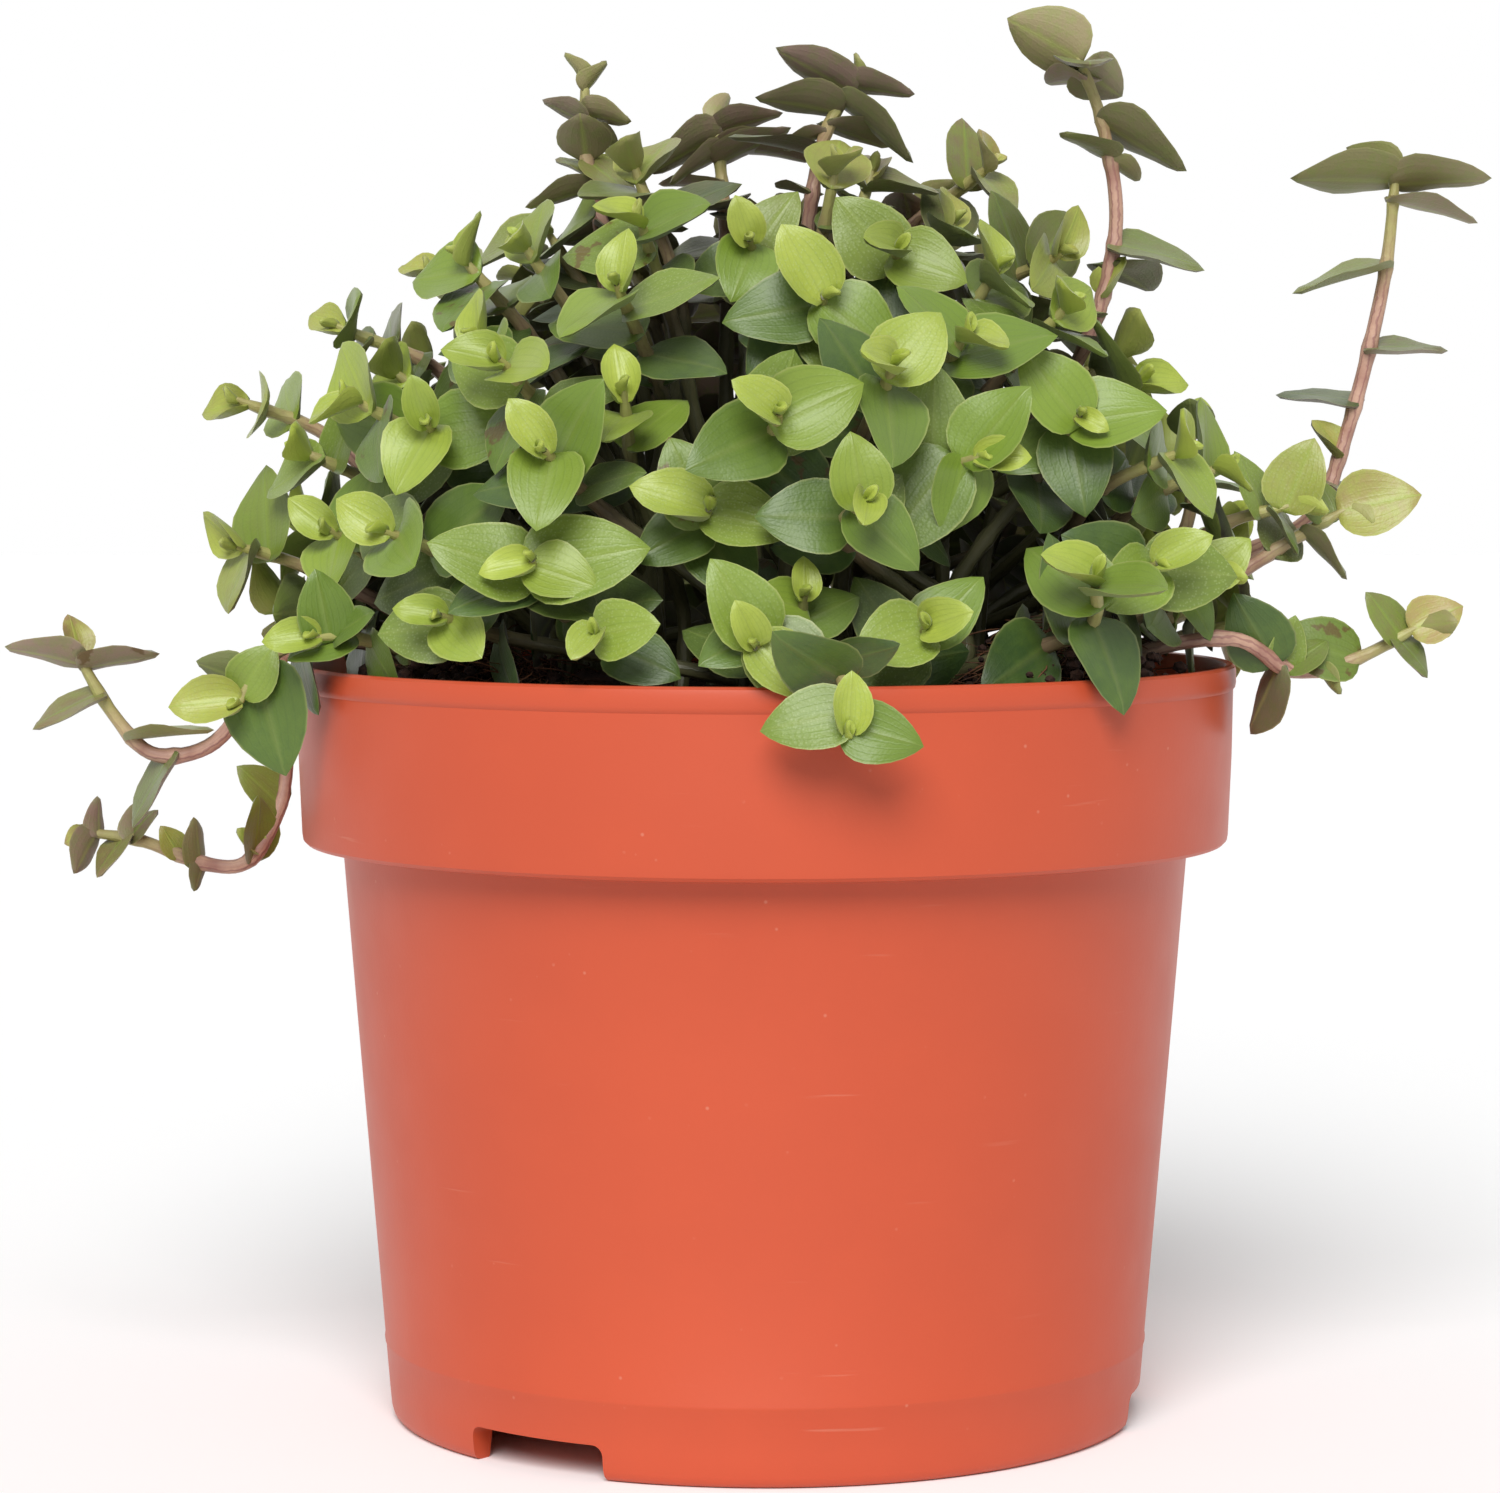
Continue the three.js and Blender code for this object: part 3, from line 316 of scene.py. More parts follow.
stemLook = {
    "skin": colour(190, 152, 130),
    "stripe": colour(122, 74, 76),
    "young": colour(158, 156, 92),
    "ring": colour(134, 84, 74),
    "shaded": colour(56, 74, 34),
    "stripes": 7,
}
stemSkin, t, shader = newMaterial("stemSkin", Roughness=0.42, Specular_IOR_Level=0.45)
where = t.add("ShaderNodeTexCoord").outputs["Object"]
fromTip = t.add("ShaderNodeAttribute", attribute_name="fromTip").outputs["Fac"]
ring = t.add("ShaderNodeAttribute", attribute_name="nodeRing").outputs["Fac"]
around = t.add("ShaderNodeAttribute", attribute_name="around").outputs["Fac"]
wobbly = t.noise(where, 700.0, 2.0)
turn = t.math("MULTIPLY", around, 2 * math.pi * stemLook["stripes"])
turn = t.math("ADD", turn, t.math("MULTIPLY", wobbly, 7.0))
stripe = t.ramp(t.math("SINE", turn), 0.15, 0.95)
skin = t.mix(t.ramp(fromTip, 2.0, 16.0), stemLook["young"], stemLook["skin"])
ripe = t.ramp(fromTip, 3.0, 15.0)
striped = t.mix(t.math("MULTIPLY", t.math("MULTIPLY", stripe, ripe), 0.55), skin, stemLook["stripe"])
blotch = t.group(softMottle, Vector=where, Scale=260.0).outputs["Mask"]
striped = t.mix(t.math("MULTIPLY", blotch, 0.3), striped, stemLook["stripe"])
ringed = t.mix(t.math("MULTIPLY", t.math("MULTIPLY", ring, ripe), 0.5), striped, stemLook["ring"])
# a stem is greener and darker where the leaves shade it
inside = t.add("ShaderNodeAttribute", attribute_name="inside").outputs["Fac"]
t.feed(shader, "Base Color", t.mix(t.math("MULTIPLY", inside, 0.85), ringed, stemLook["shaded"]))
bump = t.add("ShaderNodeBump", {"Height": stripe, "Strength": 0.3, "Distance": 0.0002})
t.feed(shader, "Normal", bump.outputs[0])

potShape = {
    "height": 97,
    "rimRadius": 60.3,
    "bandFootRadius": 59.4,
    "bandHeight": 23,
    "wallTopRadius": 54.3,
    "wallFootRadius": 48.5,
    "wall": 1.3,
    "footHeight": 4.5,
    "padRadius": 20,
    "creaseHeight": 10,
    "turns": 144,
}
notch = {"count": 3, "firstDeg": -36, "spanDeg": 23, "height": 4.5, "depth": 8}
drain = {"count": 6, "radius": 3, "circle": 34}


def potOutline():
    p = potShape
    h, w = p["height"], p["wall"]
    bandFoot = h - p["bandHeight"]
    rim, band, foot = p["rimRadius"], p["bandFootRadius"], p["wallFootRadius"]

    def wallAt(z):
        return foot + (p["wallTopRadius"] - foot) * (z - 3) / (bandFoot - 3)

    crease = p["creaseHeight"]
    outside = [
        (0, 0),
        (p["padRadius"] - 0.5, 0),
        (p["padRadius"], 0.1),
        (p["padRadius"] + 2.8, p["footHeight"] - 0.3),
        (p["padRadius"] + 3.4, p["footHeight"]),
        (foot - 4.2, p["footHeight"]),
        (foot - 3.8, p["footHeight"] - 0.4),
        (foot - 3.2, 0.2),
        (foot - 3.0, 0),
        (foot - 1.6, 0),
        (foot - 0.9, 0.2),
        (foot - 0.4, 0.7),
        (foot - 0.15, 1.5),
        (wallAt(4), 4),
        (wallAt(crease - 0.5), crease - 0.5),
        (wallAt(crease - 0.2) + 0.12, crease - 0.2),
        (wallAt(crease + 0.2) + 0.12, crease + 0.2),
        (wallAt(crease + 0.5), crease + 0.5),
        (wallAt(30), 30),
        (wallAt(52), 52),
        (p["wallTopRadius"] - 0.1, bandFoot - 0.6),
        (p["wallTopRadius"] + 0.15, bandFoot - 0.15),
        (p["wallTopRadius"] + 0.6, bandFoot),
        (band - 1.3, bandFoot),
        (band - 0.55, bandFoot + 0.15),
        (band - 0.12, bandFoot + 0.6),
        (band, bandFoot + 1.3),
        (band + 0.4, bandFoot + 11),
        (rim - 0.35, h - 3.2),
        (rim - 0.1, h - 2.9),
        (rim, h - 2.4),
        (rim, h - 0.9),
        (rim - 0.12, h - 0.35),
        (rim - 0.45, h - 0.05),
        (rim - 0.9, h),
        (rim - w, h - 0.15),
        (rim - w - 0.2, h - 0.7),
    ]
    inside = [
        (band - w - 0.05, bandFoot + w + 1.2),
        (band - w - 0.5, bandFoot + w),
        (p["wallTopRadius"] - w + 0.3, bandFoot + w),
        (p["wallTopRadius"] - w - 0.05, bandFoot + w - 0.6),
        (foot - w, p["footHeight"] + w + 0.4),
        (foot - w - 0.6, p["footHeight"] + w),
        (p["padRadius"] + 4.2, p["footHeight"] + w),
        (p["padRadius"] + 1, w),
        (0, w),
    ]
    return outside + inside


def spinOutline(outline, turns, name):
    # one vertex drawn out along the outline, then spun about Z
    deselectAll()
    bpy.ops.mesh.primitive_plane_add(size=mm, location=(0, 0, 0))
    made = bpy.context.object
    made.name = name
    editMode()
    bpy.ops.mesh.select_all(action="SELECT")
    bpy.ops.mesh.merge(type="CENTER")
    bpy.ops.transform.translate(value=(outline[0][0] * mm, 0, outline[0][1] * mm))
    for (r0, z0), (r1, z1) in zip(outline, outline[1:]):
        step = ((r1 - r0) * mm, 0, (z1 - z0) * mm)
        bpy.ops.mesh.extrude_region_move(TRANSFORM_OT_translate={"value": step})
    bpy.ops.mesh.select_all(action="SELECT")
    bpy.ops.mesh.spin(steps=turns, angle=2 * math.pi, center=(0, 0, 0), axis=(0, 0, 1))
    bpy.ops.mesh.select_all(action="SELECT")
    bpy.ops.mesh.remove_doubles(threshold=0.02 * mm)
    bpy.ops.mesh.normals_make_consistent(inside=False)
    objectMode()
    return made


def cutWith(body, cutter):
    body.modifiers.new("cut", "BOOLEAN")
    body.modifiers["cut"].operation = "DIFFERENCE"
    body.modifiers["cut"].solver = "EXACT"
    body.modifiers["cut"].object = cutter
    selectOnly(body)
    bpy.ops.object.modifier_apply(modifier="cut")
    bpy.data.objects.remove(cutter)


def makeNotchCutter(bearing):
    # a block with rounded upper corners, wide across the foot ring
    reach = potShape["wallFootRadius"] + 2
    width = 2 * reach * math.sin(math.radians(notch["spanDeg"] / 2))
    height = notch["height"] + 2
    deselectAll()
    bpy.ops.mesh.primitive_cube_add(size=mm, location=(0, 0, 0))
    cutter = bpy.context.object
    cutter.scale = (width, notch["depth"], height)
    settle(cutter)
    editMode()
    bm = bmesh.from_edit_mesh(cutter.data)
    for e in bm.edges:
        a, b = (v.co for v in e.verts)
        e.select = abs(a.x - b.x) < 1e-6 and abs(a.z - b.z) < 1e-6 and a.z > 0
    bmesh.update_edit_mesh(cutter.data)
    bpy.ops.mesh.bevel(offset=1.3 * mm, segments=4)
    objectMode()
    cutter.location = (0, -(reach - notch["depth"] / 2) * mm, (notch["height"] / 2 - 1) * mm)
    settle(cutter)
    cutter.rotation_euler = (0, 0, bearing)
    settle(cutter)
    return cutter


def makePot():
    body = spinOutline(potOutline(), potShape["turns"], "nursery_pot")
    for i in range(notch["count"]):
        cutWith(body, makeNotchCutter(math.radians(notch["firstDeg"] + 360 * i / notch["count"])))
    for i in range(drain["count"]):
        bearing = math.radians(notch["firstDeg"] - 90 + (i + 0.5) * 360 / drain["count"])
        deselectAll()
        bpy.ops.mesh.primitive_cylinder_add(
            vertices=24,
            radius=drain["radius"] * mm,
            depth=12 * mm,
            location=(
                drain["circle"] * mm * math.cos(bearing),
                drain["circle"] * mm * math.sin(bearing),
                potShape["footHeight"] * mm,
            ),
        )
        cutter = bpy.context.object
        settle(cutter)
        cutWith(body, cutter)
    smooth(body, 32)
    return body


potLook = {
    "plastic": colour(188, 75, 43),
    "shade": colour(176, 68, 40),
    "dust": colour(206, 146, 124),
    "roughness": 0.4,
}
potPlastic, t, shader = newMaterial("potPlastic", Specular_IOR_Level=0.42)
where = t.add("ShaderNodeTexCoord").outputs["Object"]
drift = t.group(softMottle, Vector=where, Scale=22.0, Low=0.3, High=0.7).outputs["Mask"]
base = t.mix(t.math("MULTIPLY", drift, 0.35), potLook["plastic"], potLook["shade"])
flecks = t.add("ShaderNodeTexVoronoi", {"Vector": where, "Scale": 420.0, "Randomness": 1.0}, feature="F1")
fleck = t.ramp(flecks.outputs["Distance"], 0.12, 0.05)
rare = t.ramp(t.noise(where, 160.0, 2.0), 0.56, 0.66)
fleck = t.math("MULTIPLY", fleck, rare)
scuffPlace = t.spread(where, rotation=(0.5, 0.7, 0.3), scale=(60, 60, 1400))
scuff = t.ramp(t.noise(scuffPlace, 1.0, 2.0), 0.68, 0.78)
scuff = t.math("MULTIPLY", scuff, t.ramp(t.noise(where, 55.0, 1.0), 0.52, 0.68))
marks = t.math("ADD", t.math("MULTIPLY", fleck, 0.35), t.math("MULTIPLY", scuff, 0.22), clamp=True)
t.feed(shader, "Base Color", t.mix(marks, base, potLook["dust"]))
grain = t.group(fineCells, Vector=where, Scale=1900.0).outputs["Height"]
rough = t.math("ADD", potLook["roughness"], t.math("MULTIPLY", drift, 0.08))
t.feed(shader, "Roughness", t.math("ADD", rough, t.math("MULTIPLY", marks, 0.2)))
height = t.math("ADD", t.math("MULTIPLY", grain, 0.2), t.math("MULTIPLY", scuff, -0.5))
bump = t.add("ShaderNodeBump", {"Height": height, "Strength": 0.15, "Distance": 0.0002})
t.feed(shader, "Normal", bump.outputs[0])

nurseryPot = makePot()
nurseryPot.data.materials.clear()
nurseryPot.data.materials.append(potPlastic)
hand(nurseryPot, "pot_plastic", "pot")
print("pot made")

soilShape = {
    "edgeHeight": 92.5,
    "middleHeight": 95.5,
    "lumps": 1.6,
    "noise": [(0.16, 1.0), (0.5, 0.8), (1.3, 0.5)],
    "rings": 34,
    "turns": 110,
    "air": 0.3,
}


def soilHeight(x, y):
    share = min(1, math.hypot(x, y) / potShape["wallTopRadius"])
    return soilShape["middleHeight"] - (soilShape["middleHeight"] - soilShape["edgeHeight"]) * share * share


soilLook = {"peat": colour(40, 27, 24), "crumb": colour(74, 50, 38), "fibre": colour(118, 78, 52)}
pottingPeat, t, shader = newMaterial("pottingPeat", Roughness=0.95, Specular_IOR_Level=0.3)
where = t.add("ShaderNodeTexCoord").outputs["Object"]
crumbs = t.add("ShaderNodeTexVoronoi", {"Vector": where, "Scale": 520.0}, feature="F1")
mottle = t.group(softMottle, Vector=where, Scale=260.0).outputs["Mask"]
base = t.mix(t.math("MULTIPLY", mottle, 0.7), soilLook["peat"], soilLook["crumb"])
t.feed(shader, "Base Color", base)
height = t.math("ADD", crumbs.outputs["Distance"], t.math("MULTIPLY", mottle, 0.5))
bump = t.add("ShaderNodeBump", {"Height": height, "Strength": 0.8, "Distance": 0.0008})
t.feed(shader, "Normal", bump.outputs[0])


def makeSoil():
    s, p = soilShape, potShape
    bandFoot = p["height"] - p["bandHeight"]
    gap = p["wall"] + s["air"]
    side = [
        (0, gap),
        (p["padRadius"] + 0.7, gap),
        (p["padRadius"] + 4, p["footHeight"] + gap),
        (p["wallFootRadius"] - gap - 0.6, p["footHeight"] + gap),
        (p["wallTopRadius"] - gap - 0.1, bandFoot + gap),
        (p["bandFootRadius"] - gap - 0.6, bandFoot + gap),
        (p["bandFootRadius"] - gap - 0.1, bandFoot + gap + 1),
    ]
    topRadius = p["bandFootRadius"] - gap
    rings = [topRadius * (1 - i / s["rings"]) for i in range(s["rings"] + 1)]
    top = [(r, soilHeight(r, 0)) for r in rings]
    soil = spinOutline(side + top, s["turns"], "peat")
    for v in soil.data.vertices:
        r = math.hypot(v.co.x, v.co.y) / mm
        if v.co.z / mm > soilHeight(v.co.x / mm, v.co.y / mm) - 0.2:
            spot = v.co / mm
            lump = sum(noise.noise(spot * scale) * high for scale, high in soilShape["noise"])
            edge = min(1, (topRadius - r) / 3)
            v.co.z += s["lumps"] * (lump - 0.2) * mm * max(edge, 0.25)
    smooth(soil, 60)
    return soil


litter = {
    "near": 38,
    "fibres": 560,
    "fibreReach": 50,
    "fibreLength": 10,
    "fibreRadius": 0.11,
    "fibreArch": 1.5,
    "crumbs": 640,
    "crumbReach": 56.5,
    "crumbRadius": 0.8,
    "tip": 1.3,
}
# bearing, spread and height of each heap
heaps = [(-38, 26, 8.5), (-142, 20, 6), (150, 180, 0.5)]


def litterSpot(i, seed, reach):
    # most of it lies in the open places at the front, heaped up by the pot's wall
    bearing, spread, high = heaps[i % 3]
    off = vary(i, seed) + vary(i, seed + 1) - 1
    angle = math.radians(bearing + spread * off)
    r = litter["near"] + (reach - litter["near"]) * vary(i, seed + 3)
    x, y = r * math.cos(angle), r * math.sin(angle)
    return Vector((x, y, soilHeight(x, y) + high * vary(i, seed + 4) * (1 - off * off)))


def makeFibre():
    # one coir strand, three-sided, arched over the soil
    curve = bpy.data.curves.new("fibre", "CURVE")
    curve.dimensions = "3D"
    curve.bevel_depth = litter["fibreRadius"]
    curve.bevel_resolution = 0
    spline = curve.splines.new("POLY")
    spline.points.add(6)
    for i, point in enumerate(spline.points):
        u = i / 6 - 0.5
        arch = litter["fibreArch"] * (0.25 - u * u) * 4
        point.co = (u * litter["fibreLength"], 1.6 * math.sin(u * 5), arch, 1)
        point.radius = 1 - 0.5 * abs(u)
    made = bpy.data.objects.new("fibre", curve)
    bpy.context.scene.collection.objects.link(made)
    selectOnly(made)
    bpy.ops.object.convert(target="MESH")
    return bpy.context.object


def makeCrumb():
    deselectAll()
    bpy.ops.mesh.primitive_ico_sphere_add(subdivisions=1, radius=litter["crumbRadius"])
    return bpy.context.object


def scatter(master, count, reach, seed, low, high):
    copies = []
    for i in range(count):
        made = master.copy()
        made.data = master.data.copy()
        bpy.context.scene.collection.objects.link(made)
        size = low + (high - low) * vary(i, seed + 5)
        turn = Matrix.Rotation(2 * math.pi * vary(i, seed + 6), 4, "Z")
        tip = Matrix.Rotation(litter["tip"] * (vary(i, seed + 7) - 0.5), 4, "Y")
        at = Matrix.Scale(mm, 4) @ Matrix.Translation(litterSpot(i, seed, reach))
        made.data.transform(at @ turn @ tip @ Matrix.Diagonal((size, size, size * 0.8, 1)))
        copies.append(made)
    bpy.data.objects.remove(master)
    return copies


peat = makeSoil()
peat.data.materials.clear()
peat.data.materials.append(pottingPeat)
hand(peat, "soil", "potting_soil")
coir, t, shader = newMaterial("coir", Roughness=0.8, Specular_IOR_Level=0.3)
where = t.add("ShaderNodeTexCoord").outputs["Object"]
patchy = t.group(softMottle, Vector=where, Scale=180.0).outputs["Mask"]
t.feed(shader, "Base Color", t.mix(patchy, soilLook["crumb"], soilLook["fibre"]))
strands = scatter(makeFibre(), litter["fibres"], litter["fibreReach"], 50, 0.5, 1.25)
fibres = joinAll(strands, "coir_fibres")
lumps = scatter(makeCrumb(), litter["crumbs"], litter["crumbReach"], 70, 0.35, 1.4)
crumbsLoose = joinAll(lumps, "loose_crumbs")
for piece, skinOf in ((fibres, coir), (crumbsLoose, pottingPeat)):
    piece.data.materials.clear()
    piece.data.materials.append(skinOf)
    hand(piece, "soil")
print("soil made")

# Shoots, laid out as in the CAD.


def cutting(**told):
    # turn and count are what most shoots have
    return {"turn": 150, "count": 8, **told}


shoots = [
    cutting(
        tip=(-27.5, -52, 111.5), aim=(-0.05, -0.88, 0.47), leaf=14, first=-125, turn=-150, start=6,
        leaves=[
            (0.2, 0, (-0.8, -2.4, 1.4), (0.2, 0.5, 0.8)), (0.9, 1, (-6.3, -2.2, -0.8), (0.1, -0.9, 0.45)),
            (1.8, 2, (8.6, -3, -2.6), (0, -0.85, 0.5)), (3, 3, (15, -1, 3.3), (0, -0.82, 0.55)),
            (4.4, 3, (-13, -2, 4.4), (0.05, -0.85, 0.5)), (6.5, 4, (-10.5, -4, -3.4), (0, -0.6, 0.8)),
            (8, 4, (8.5, -6, -3), (0, -0.55, 0.85)),
        ],
    ),
    cutting(
        tip=(-6.8, -50, 117.4), aim=(0.05, -0.9, 0.42), leaf=13, first=95, start=6,
        leaves=[
            (0.2, 0, (0.4, -2.4, 2), (0.2, 0.5, 0.8)), (0.9, 1, (-9, -2.5, 3.6), (-0.1, -0.88, 0.45)),
            (2, 2, (11.2, -2.5, -1.4), (0.05, -0.85, 0.5)), (3.4, 3, (-4.5, -1, 10.5), (0, -0.88, 0.4)),
            (5.2, 4, (-9, -3, -4), (0, -0.8, 0.55)), (7.2, 4, (6, -4, -9), (0, -0.8, 0.5)),
        ],
    ),
    cutting(
        tip=(6.9, -38, 142.6), aim=(0.05, -0.9, 0.42), leaf=13.5, first=40, turn=-150, start=6,
        leaves=[
            (0.2, 0, (2.2, -2.2, 1), (0.2, 0.5, 0.8)), (0.9, 1, (-5, -2, 9.2), (0.1, -0.92, 0.3)),
            (1.8, 3, (10.4, -2, -7.6), (0.1, -0.88, 0.42)), (3, 3, (-13, -2, -2), (0, -0.88, 0.45)),
            (5, 4, (9.5, -3, -11), (0, -0.9, 0.4)), (7, 4, (-9.5, -3, -9), (0, -0.85, 0.5)),
        ],
    ),
    cutting(tip=(-2, -24, 150), aim=(-0.1, -0.88, 0.45), leaf=10.5, first=20),
    cutting(tip=(16.5, -24, 149), aim=(0.2, -0.85, 0.5), leaf=12, first=100),
    cutting(tip=(-17, -43, 131.5), aim=(-0.1, -0.55, 0.83), leaf=12, first=20, count=6, gap=8),
    cutting(tip=(-41, -34, 127.5), aim=(-0.25, -0.88, 0.4), leaf=12, first=10),
    cutting(
        tip=(25.4, -46, 123.4), aim=(0.55, -0.75, 0.3), leaf=14, first=-80, turn=-150, start=6,
        via=[(10, -30, 112), (18.8, -40, 121.5)],
        leaves=[
            (0.2, 0, (1.6, -2.2, 0.3), (0.2, 0.3, 0.9)), (0.8, 1, (6.6, -2, 0.5), (-0.2, -0.9, 0.35)),
            (1.8, 2, (7.6, -1, 9.6), (-0.4, -0.8, 0.35)), (2.8, 2, (-1.8, -2, -9.4), (0.5, -0.85, 0)),
            (4.5, 3, (-9.6, -2.5, -12), (-0.15, -0.93, 0.3)), (8, 3, (0.6, -1.5, 13.6), (0, -0.95, 0.28)),
            (11, 4, (-9.5, -4, -5.5), (0, -0.8, 0.5)),
        ],
    ),
    cutting(
        tip=(38, -34, 128.5), aim=(0.25, -0.85, 0.45), leaf=13.5, first=130, start=6,
        leaves=[
            (0.2, 0, (0.4, -2.4, 1), (0.2, 0.5, 0.8)), (0.7, 1, (3.6, -2.4, -1.4), (-0.1, -0.9, 0.4)),
            (1.8, 3, (-7, -1, 9.8), (0.2, -0.9, 0.35)), (3, 2, (11.8, -2, 2.6), (0, -0.82, 0.55)),
            (5.5, 4, (2, -4, -11), (0, -0.85, 0.45)), (8, 4, (-9, -4, -4), (0, -0.8, 0.5)),
        ],
    ),
    cutting(
        tip=(47.2, -38, 110.7), aim=(0.35, -0.88, 0.25), leaf=12, first=-20, start=2,
        leaves=[
            (0.2, 0, (1.8, -2, -0.4), (0.2, 0.3, 0.9)), (0.9, 1, (6.8, -2.2, 3.8), (-0.3, -0.93, 0.3)),
        ],
    ),
    cutting(tip=(39, -48, 109.5), aim=(0.1, -0.7, 0.7), leaf=13.5, first=100),
    cutting(tip=(18.6, -55, 104), aim=(0.1, -0.9, 0.4), leaf=12, first=-95, turn=-150, count=7),
    cutting(
        name="front_overhang", tip=(-1.4, -61, 101.6), aim=(0.05, -0.9, 0.2), leaf=13, first=25, count=7,
        start=5, via=[(0, -46, 99), (0, -55, 103)],
        leaves=[
            (0.2, 0, (-0.5, -2.2, 1.2), (0.2, 0.5, 0.8)), (0.9, 1, (-2.4, -2.4, 5.4), (0, -0.9, 0.45)),
            (1.8, 2, (6.4, -2.5, -6.6), (0, -0.9, 0.4)), (3, 3, (-6, -2, 10), (0, -0.88, 0.4)),
            (4.5, 3, (8.4, -3.5, -9.2), (0.1, -0.93, 0.3)), (6.5, 4, (-8.5, -5, -3), (0, -0.7, 0.7)),
        ],
    ),
    cutting(tip=(4.5, -52, 107.5), aim=(0.1, -0.7, 0.7), leaf=9.5, first=0, count=7),
    cutting(
        name="front_drooping", tip=(9.3, -67, 91.4), aim=(0.25, -0.75, -0.35), leaf=12, first=0, count=6,
        start=4, via=[(7, -49, 98.5), (8, -58.5, 100.4), (9, -64.5, 97)],
        leaves=[
            (0.3, 0, (0.2, -1.6, 2.2), (0.3, -0.8, 0.3)), (0.8, 1, (0.5, -1.5, 7.4), (0.2, -0.95, 0.1)),
            (1.6, 3, (9.4, -1.5, -2.4), (0.1, -0.97, 0.1)),
            (3, 3, (-10.8, -1, -1.6), (-0.1, -0.92, 0.35)),
        ],
    ),
    cutting(
        name="left_overhang", tip=(-54.8, -34, 101.6), aim=(-0.5, -0.8, 0.1), leaf=12, first=60, count=6,
        start=4, via=[(-44, -27, 99), (-50.5, -31, 101.4)],
        leaves=[
            (0.2, 0, (-1.4, -2.2, 0.6), (0.2, 0.3, 0.9)), (0.8, 1, (-7, -2, -0.2), (0.05, -0.93, 0.35)),
            (2, 3, (-1.5, -1.5, 9), (0.3, -0.93, 0.2)), (3.4, 3, (5, -4, 3.5), (-0.5, -0.6, 0.6)),
            (5, 4, (-8, -4, -2.4), (-0.3, -0.7, 0.6)),
        ],
    ),
    cutting(
        name="left_drooping", tip=(-64.8, -28, 92.8), aim=(-0.3, -0.9, 0.1), leaf=12, first=60, turn=-150,
        count=6, start=5, via=[(-46, -19, 99), (-56.5, -23.5, 100.8), (-62.5, -26.5, 97.2)],
        leaves=[
            (0.2, 0, (-1.2, -2.4, 0.3), (0.2, 0.3, 0.9)), (0.8, 1, (-8.8, -2, -0.4), (0.05, -0.95, 0.3)),
            (2, 2, (4.2, -1, 6.4), (0, -0.93, 0.3)), (3.4, 3, (-7, 2, 3), (0.3, 0.8, 0.5)),
            (5.4, 4, (3.6, -2.5, -14), (-0.3, -0.93, -0.1)),
        ],
    ),
    cutting(tip=(-54, -22, 114.4), aim=(-0.6, -0.65, 0.45), leaf=12, first=40),
    cutting(tip=(-67, -8, 112), aim=(-0.85, -0.4, 0.3), leaf=12.5, first=30),
    cutting(tip=(-67.5, -3, 130.6), aim=(-0.85, -0.25, 0.4), leaf=11.5, first=90, count=6, gap=8),
    cutting(tip=(-55, 1, 140), aim=(-0.85, -0.2, 0.45), leaf=11.5, first=60, turn=-150),
    cutting(tip=(-43, 8, 147.4), aim=(-0.75, -0.2, 0.6), leaf=11, first=90),
    cutting(
        name="upright_left", tip=(-23, 0, 171.5), aim=(-0.05, -0.1, 1), leaf=12, first=100, count=7,
        start=5, gap=8, via=[(-15, 1, 128), (-20.2, 0, 143), (-20.6, 0, 151), (-22.8, 0, 161)],
        leaves=[
            (0.3, 0, (-0.6, -0.6, 2.6), (0.8, 0.2, 0.2)), (0.8, 1, (-2.2, -0.5, 4.4), (0.8, 0.3, 0.4)),
            (1.6, 1, (2.8, -1, 4), (-0.7, 0.4, 0.5)), (4.5, 2, (6.8, -1.5, -0.6), (-0.1, 0.55, 0.8)),
            (5.5, 3, (-5.6, 1, 3.6), (0.5, 0.45, 0.75)), (7, 3, (4.5, 4, -1), (-0.2, 0.5, 0.8)),
            (10, 3, (-0.6, -7, 6), (0, 0.72, 0.7)), (10.8, 3, (7.4, -2.5, -5.6), (0.45, -0.55, 0.7)),
            (12, 3, (-4.6, 2, 2.6), (0.3, -0.4, 0.85)), (14, 3, (-9.4, -1.5, -2.2), (-0.2, 0.3, 0.93)),
            (19, 4, (10.2, -3, -7.6), (0.55, -0.1, 0.8)), (27.5, 4, (-11, -2, 4.6), (0.35, -0.45, 0.85)),
        ],
    ),
    cutting(
        name="upright_back", tip=(-6.3, 10, 166.5), aim=(0.1, -0.1, 1), leaf=13, first=80, count=7,
        start=4, gap=6.5, via=[(-5, 9, 128), (-5, 10, 150)],
        leaves=[
            (0.3, 1, (1.5, 3.5, 4.4), (-0.3, 0.7, 0.6)), (1, 3, (9, -1.5, 3.4), (-0.3, 0.45, 0.85)),
            (1.6, 3, (-10.2, -2, -4.6), (-0.35, 0.5, 0.8)), (3, 3, (13.4, 1.5, -0.2), (0, 0.22, 0.97)),
            (4, 3, (-7.6, -3.5, -3.6), (-0.3, 0.35, 0.85)), (5, 3, (9.8, -3.5, 5), (-0.45, 0.4, 0.8)),
            (8, 4, (-9, 4, 1), (0, 0.1, 1)), (12, 4, (6, -7, -1), (0.1, -0.3, 0.95)),
            (16, 4, (-9, -4, -2), (0, -0.3, 0.95)),
        ],
    ),
    cutting(
        name="upright_middle", tip=(11.6, -2, 171.5), aim=(0.6, -0.1, 0.85), leaf=13, first=60, count=7,
        start=4, gap=6.5, via=[(3, -1, 130), (5.4, -2, 152), (7.4, -2, 163.5)],
        leaves=[
            (0.2, 0, (0.4, -0.4, 3.4), (0.8, 0.2, 0.2)), (1.2, 3, (8.8, -1.5, -1), (0, 0.42, 0.9)),
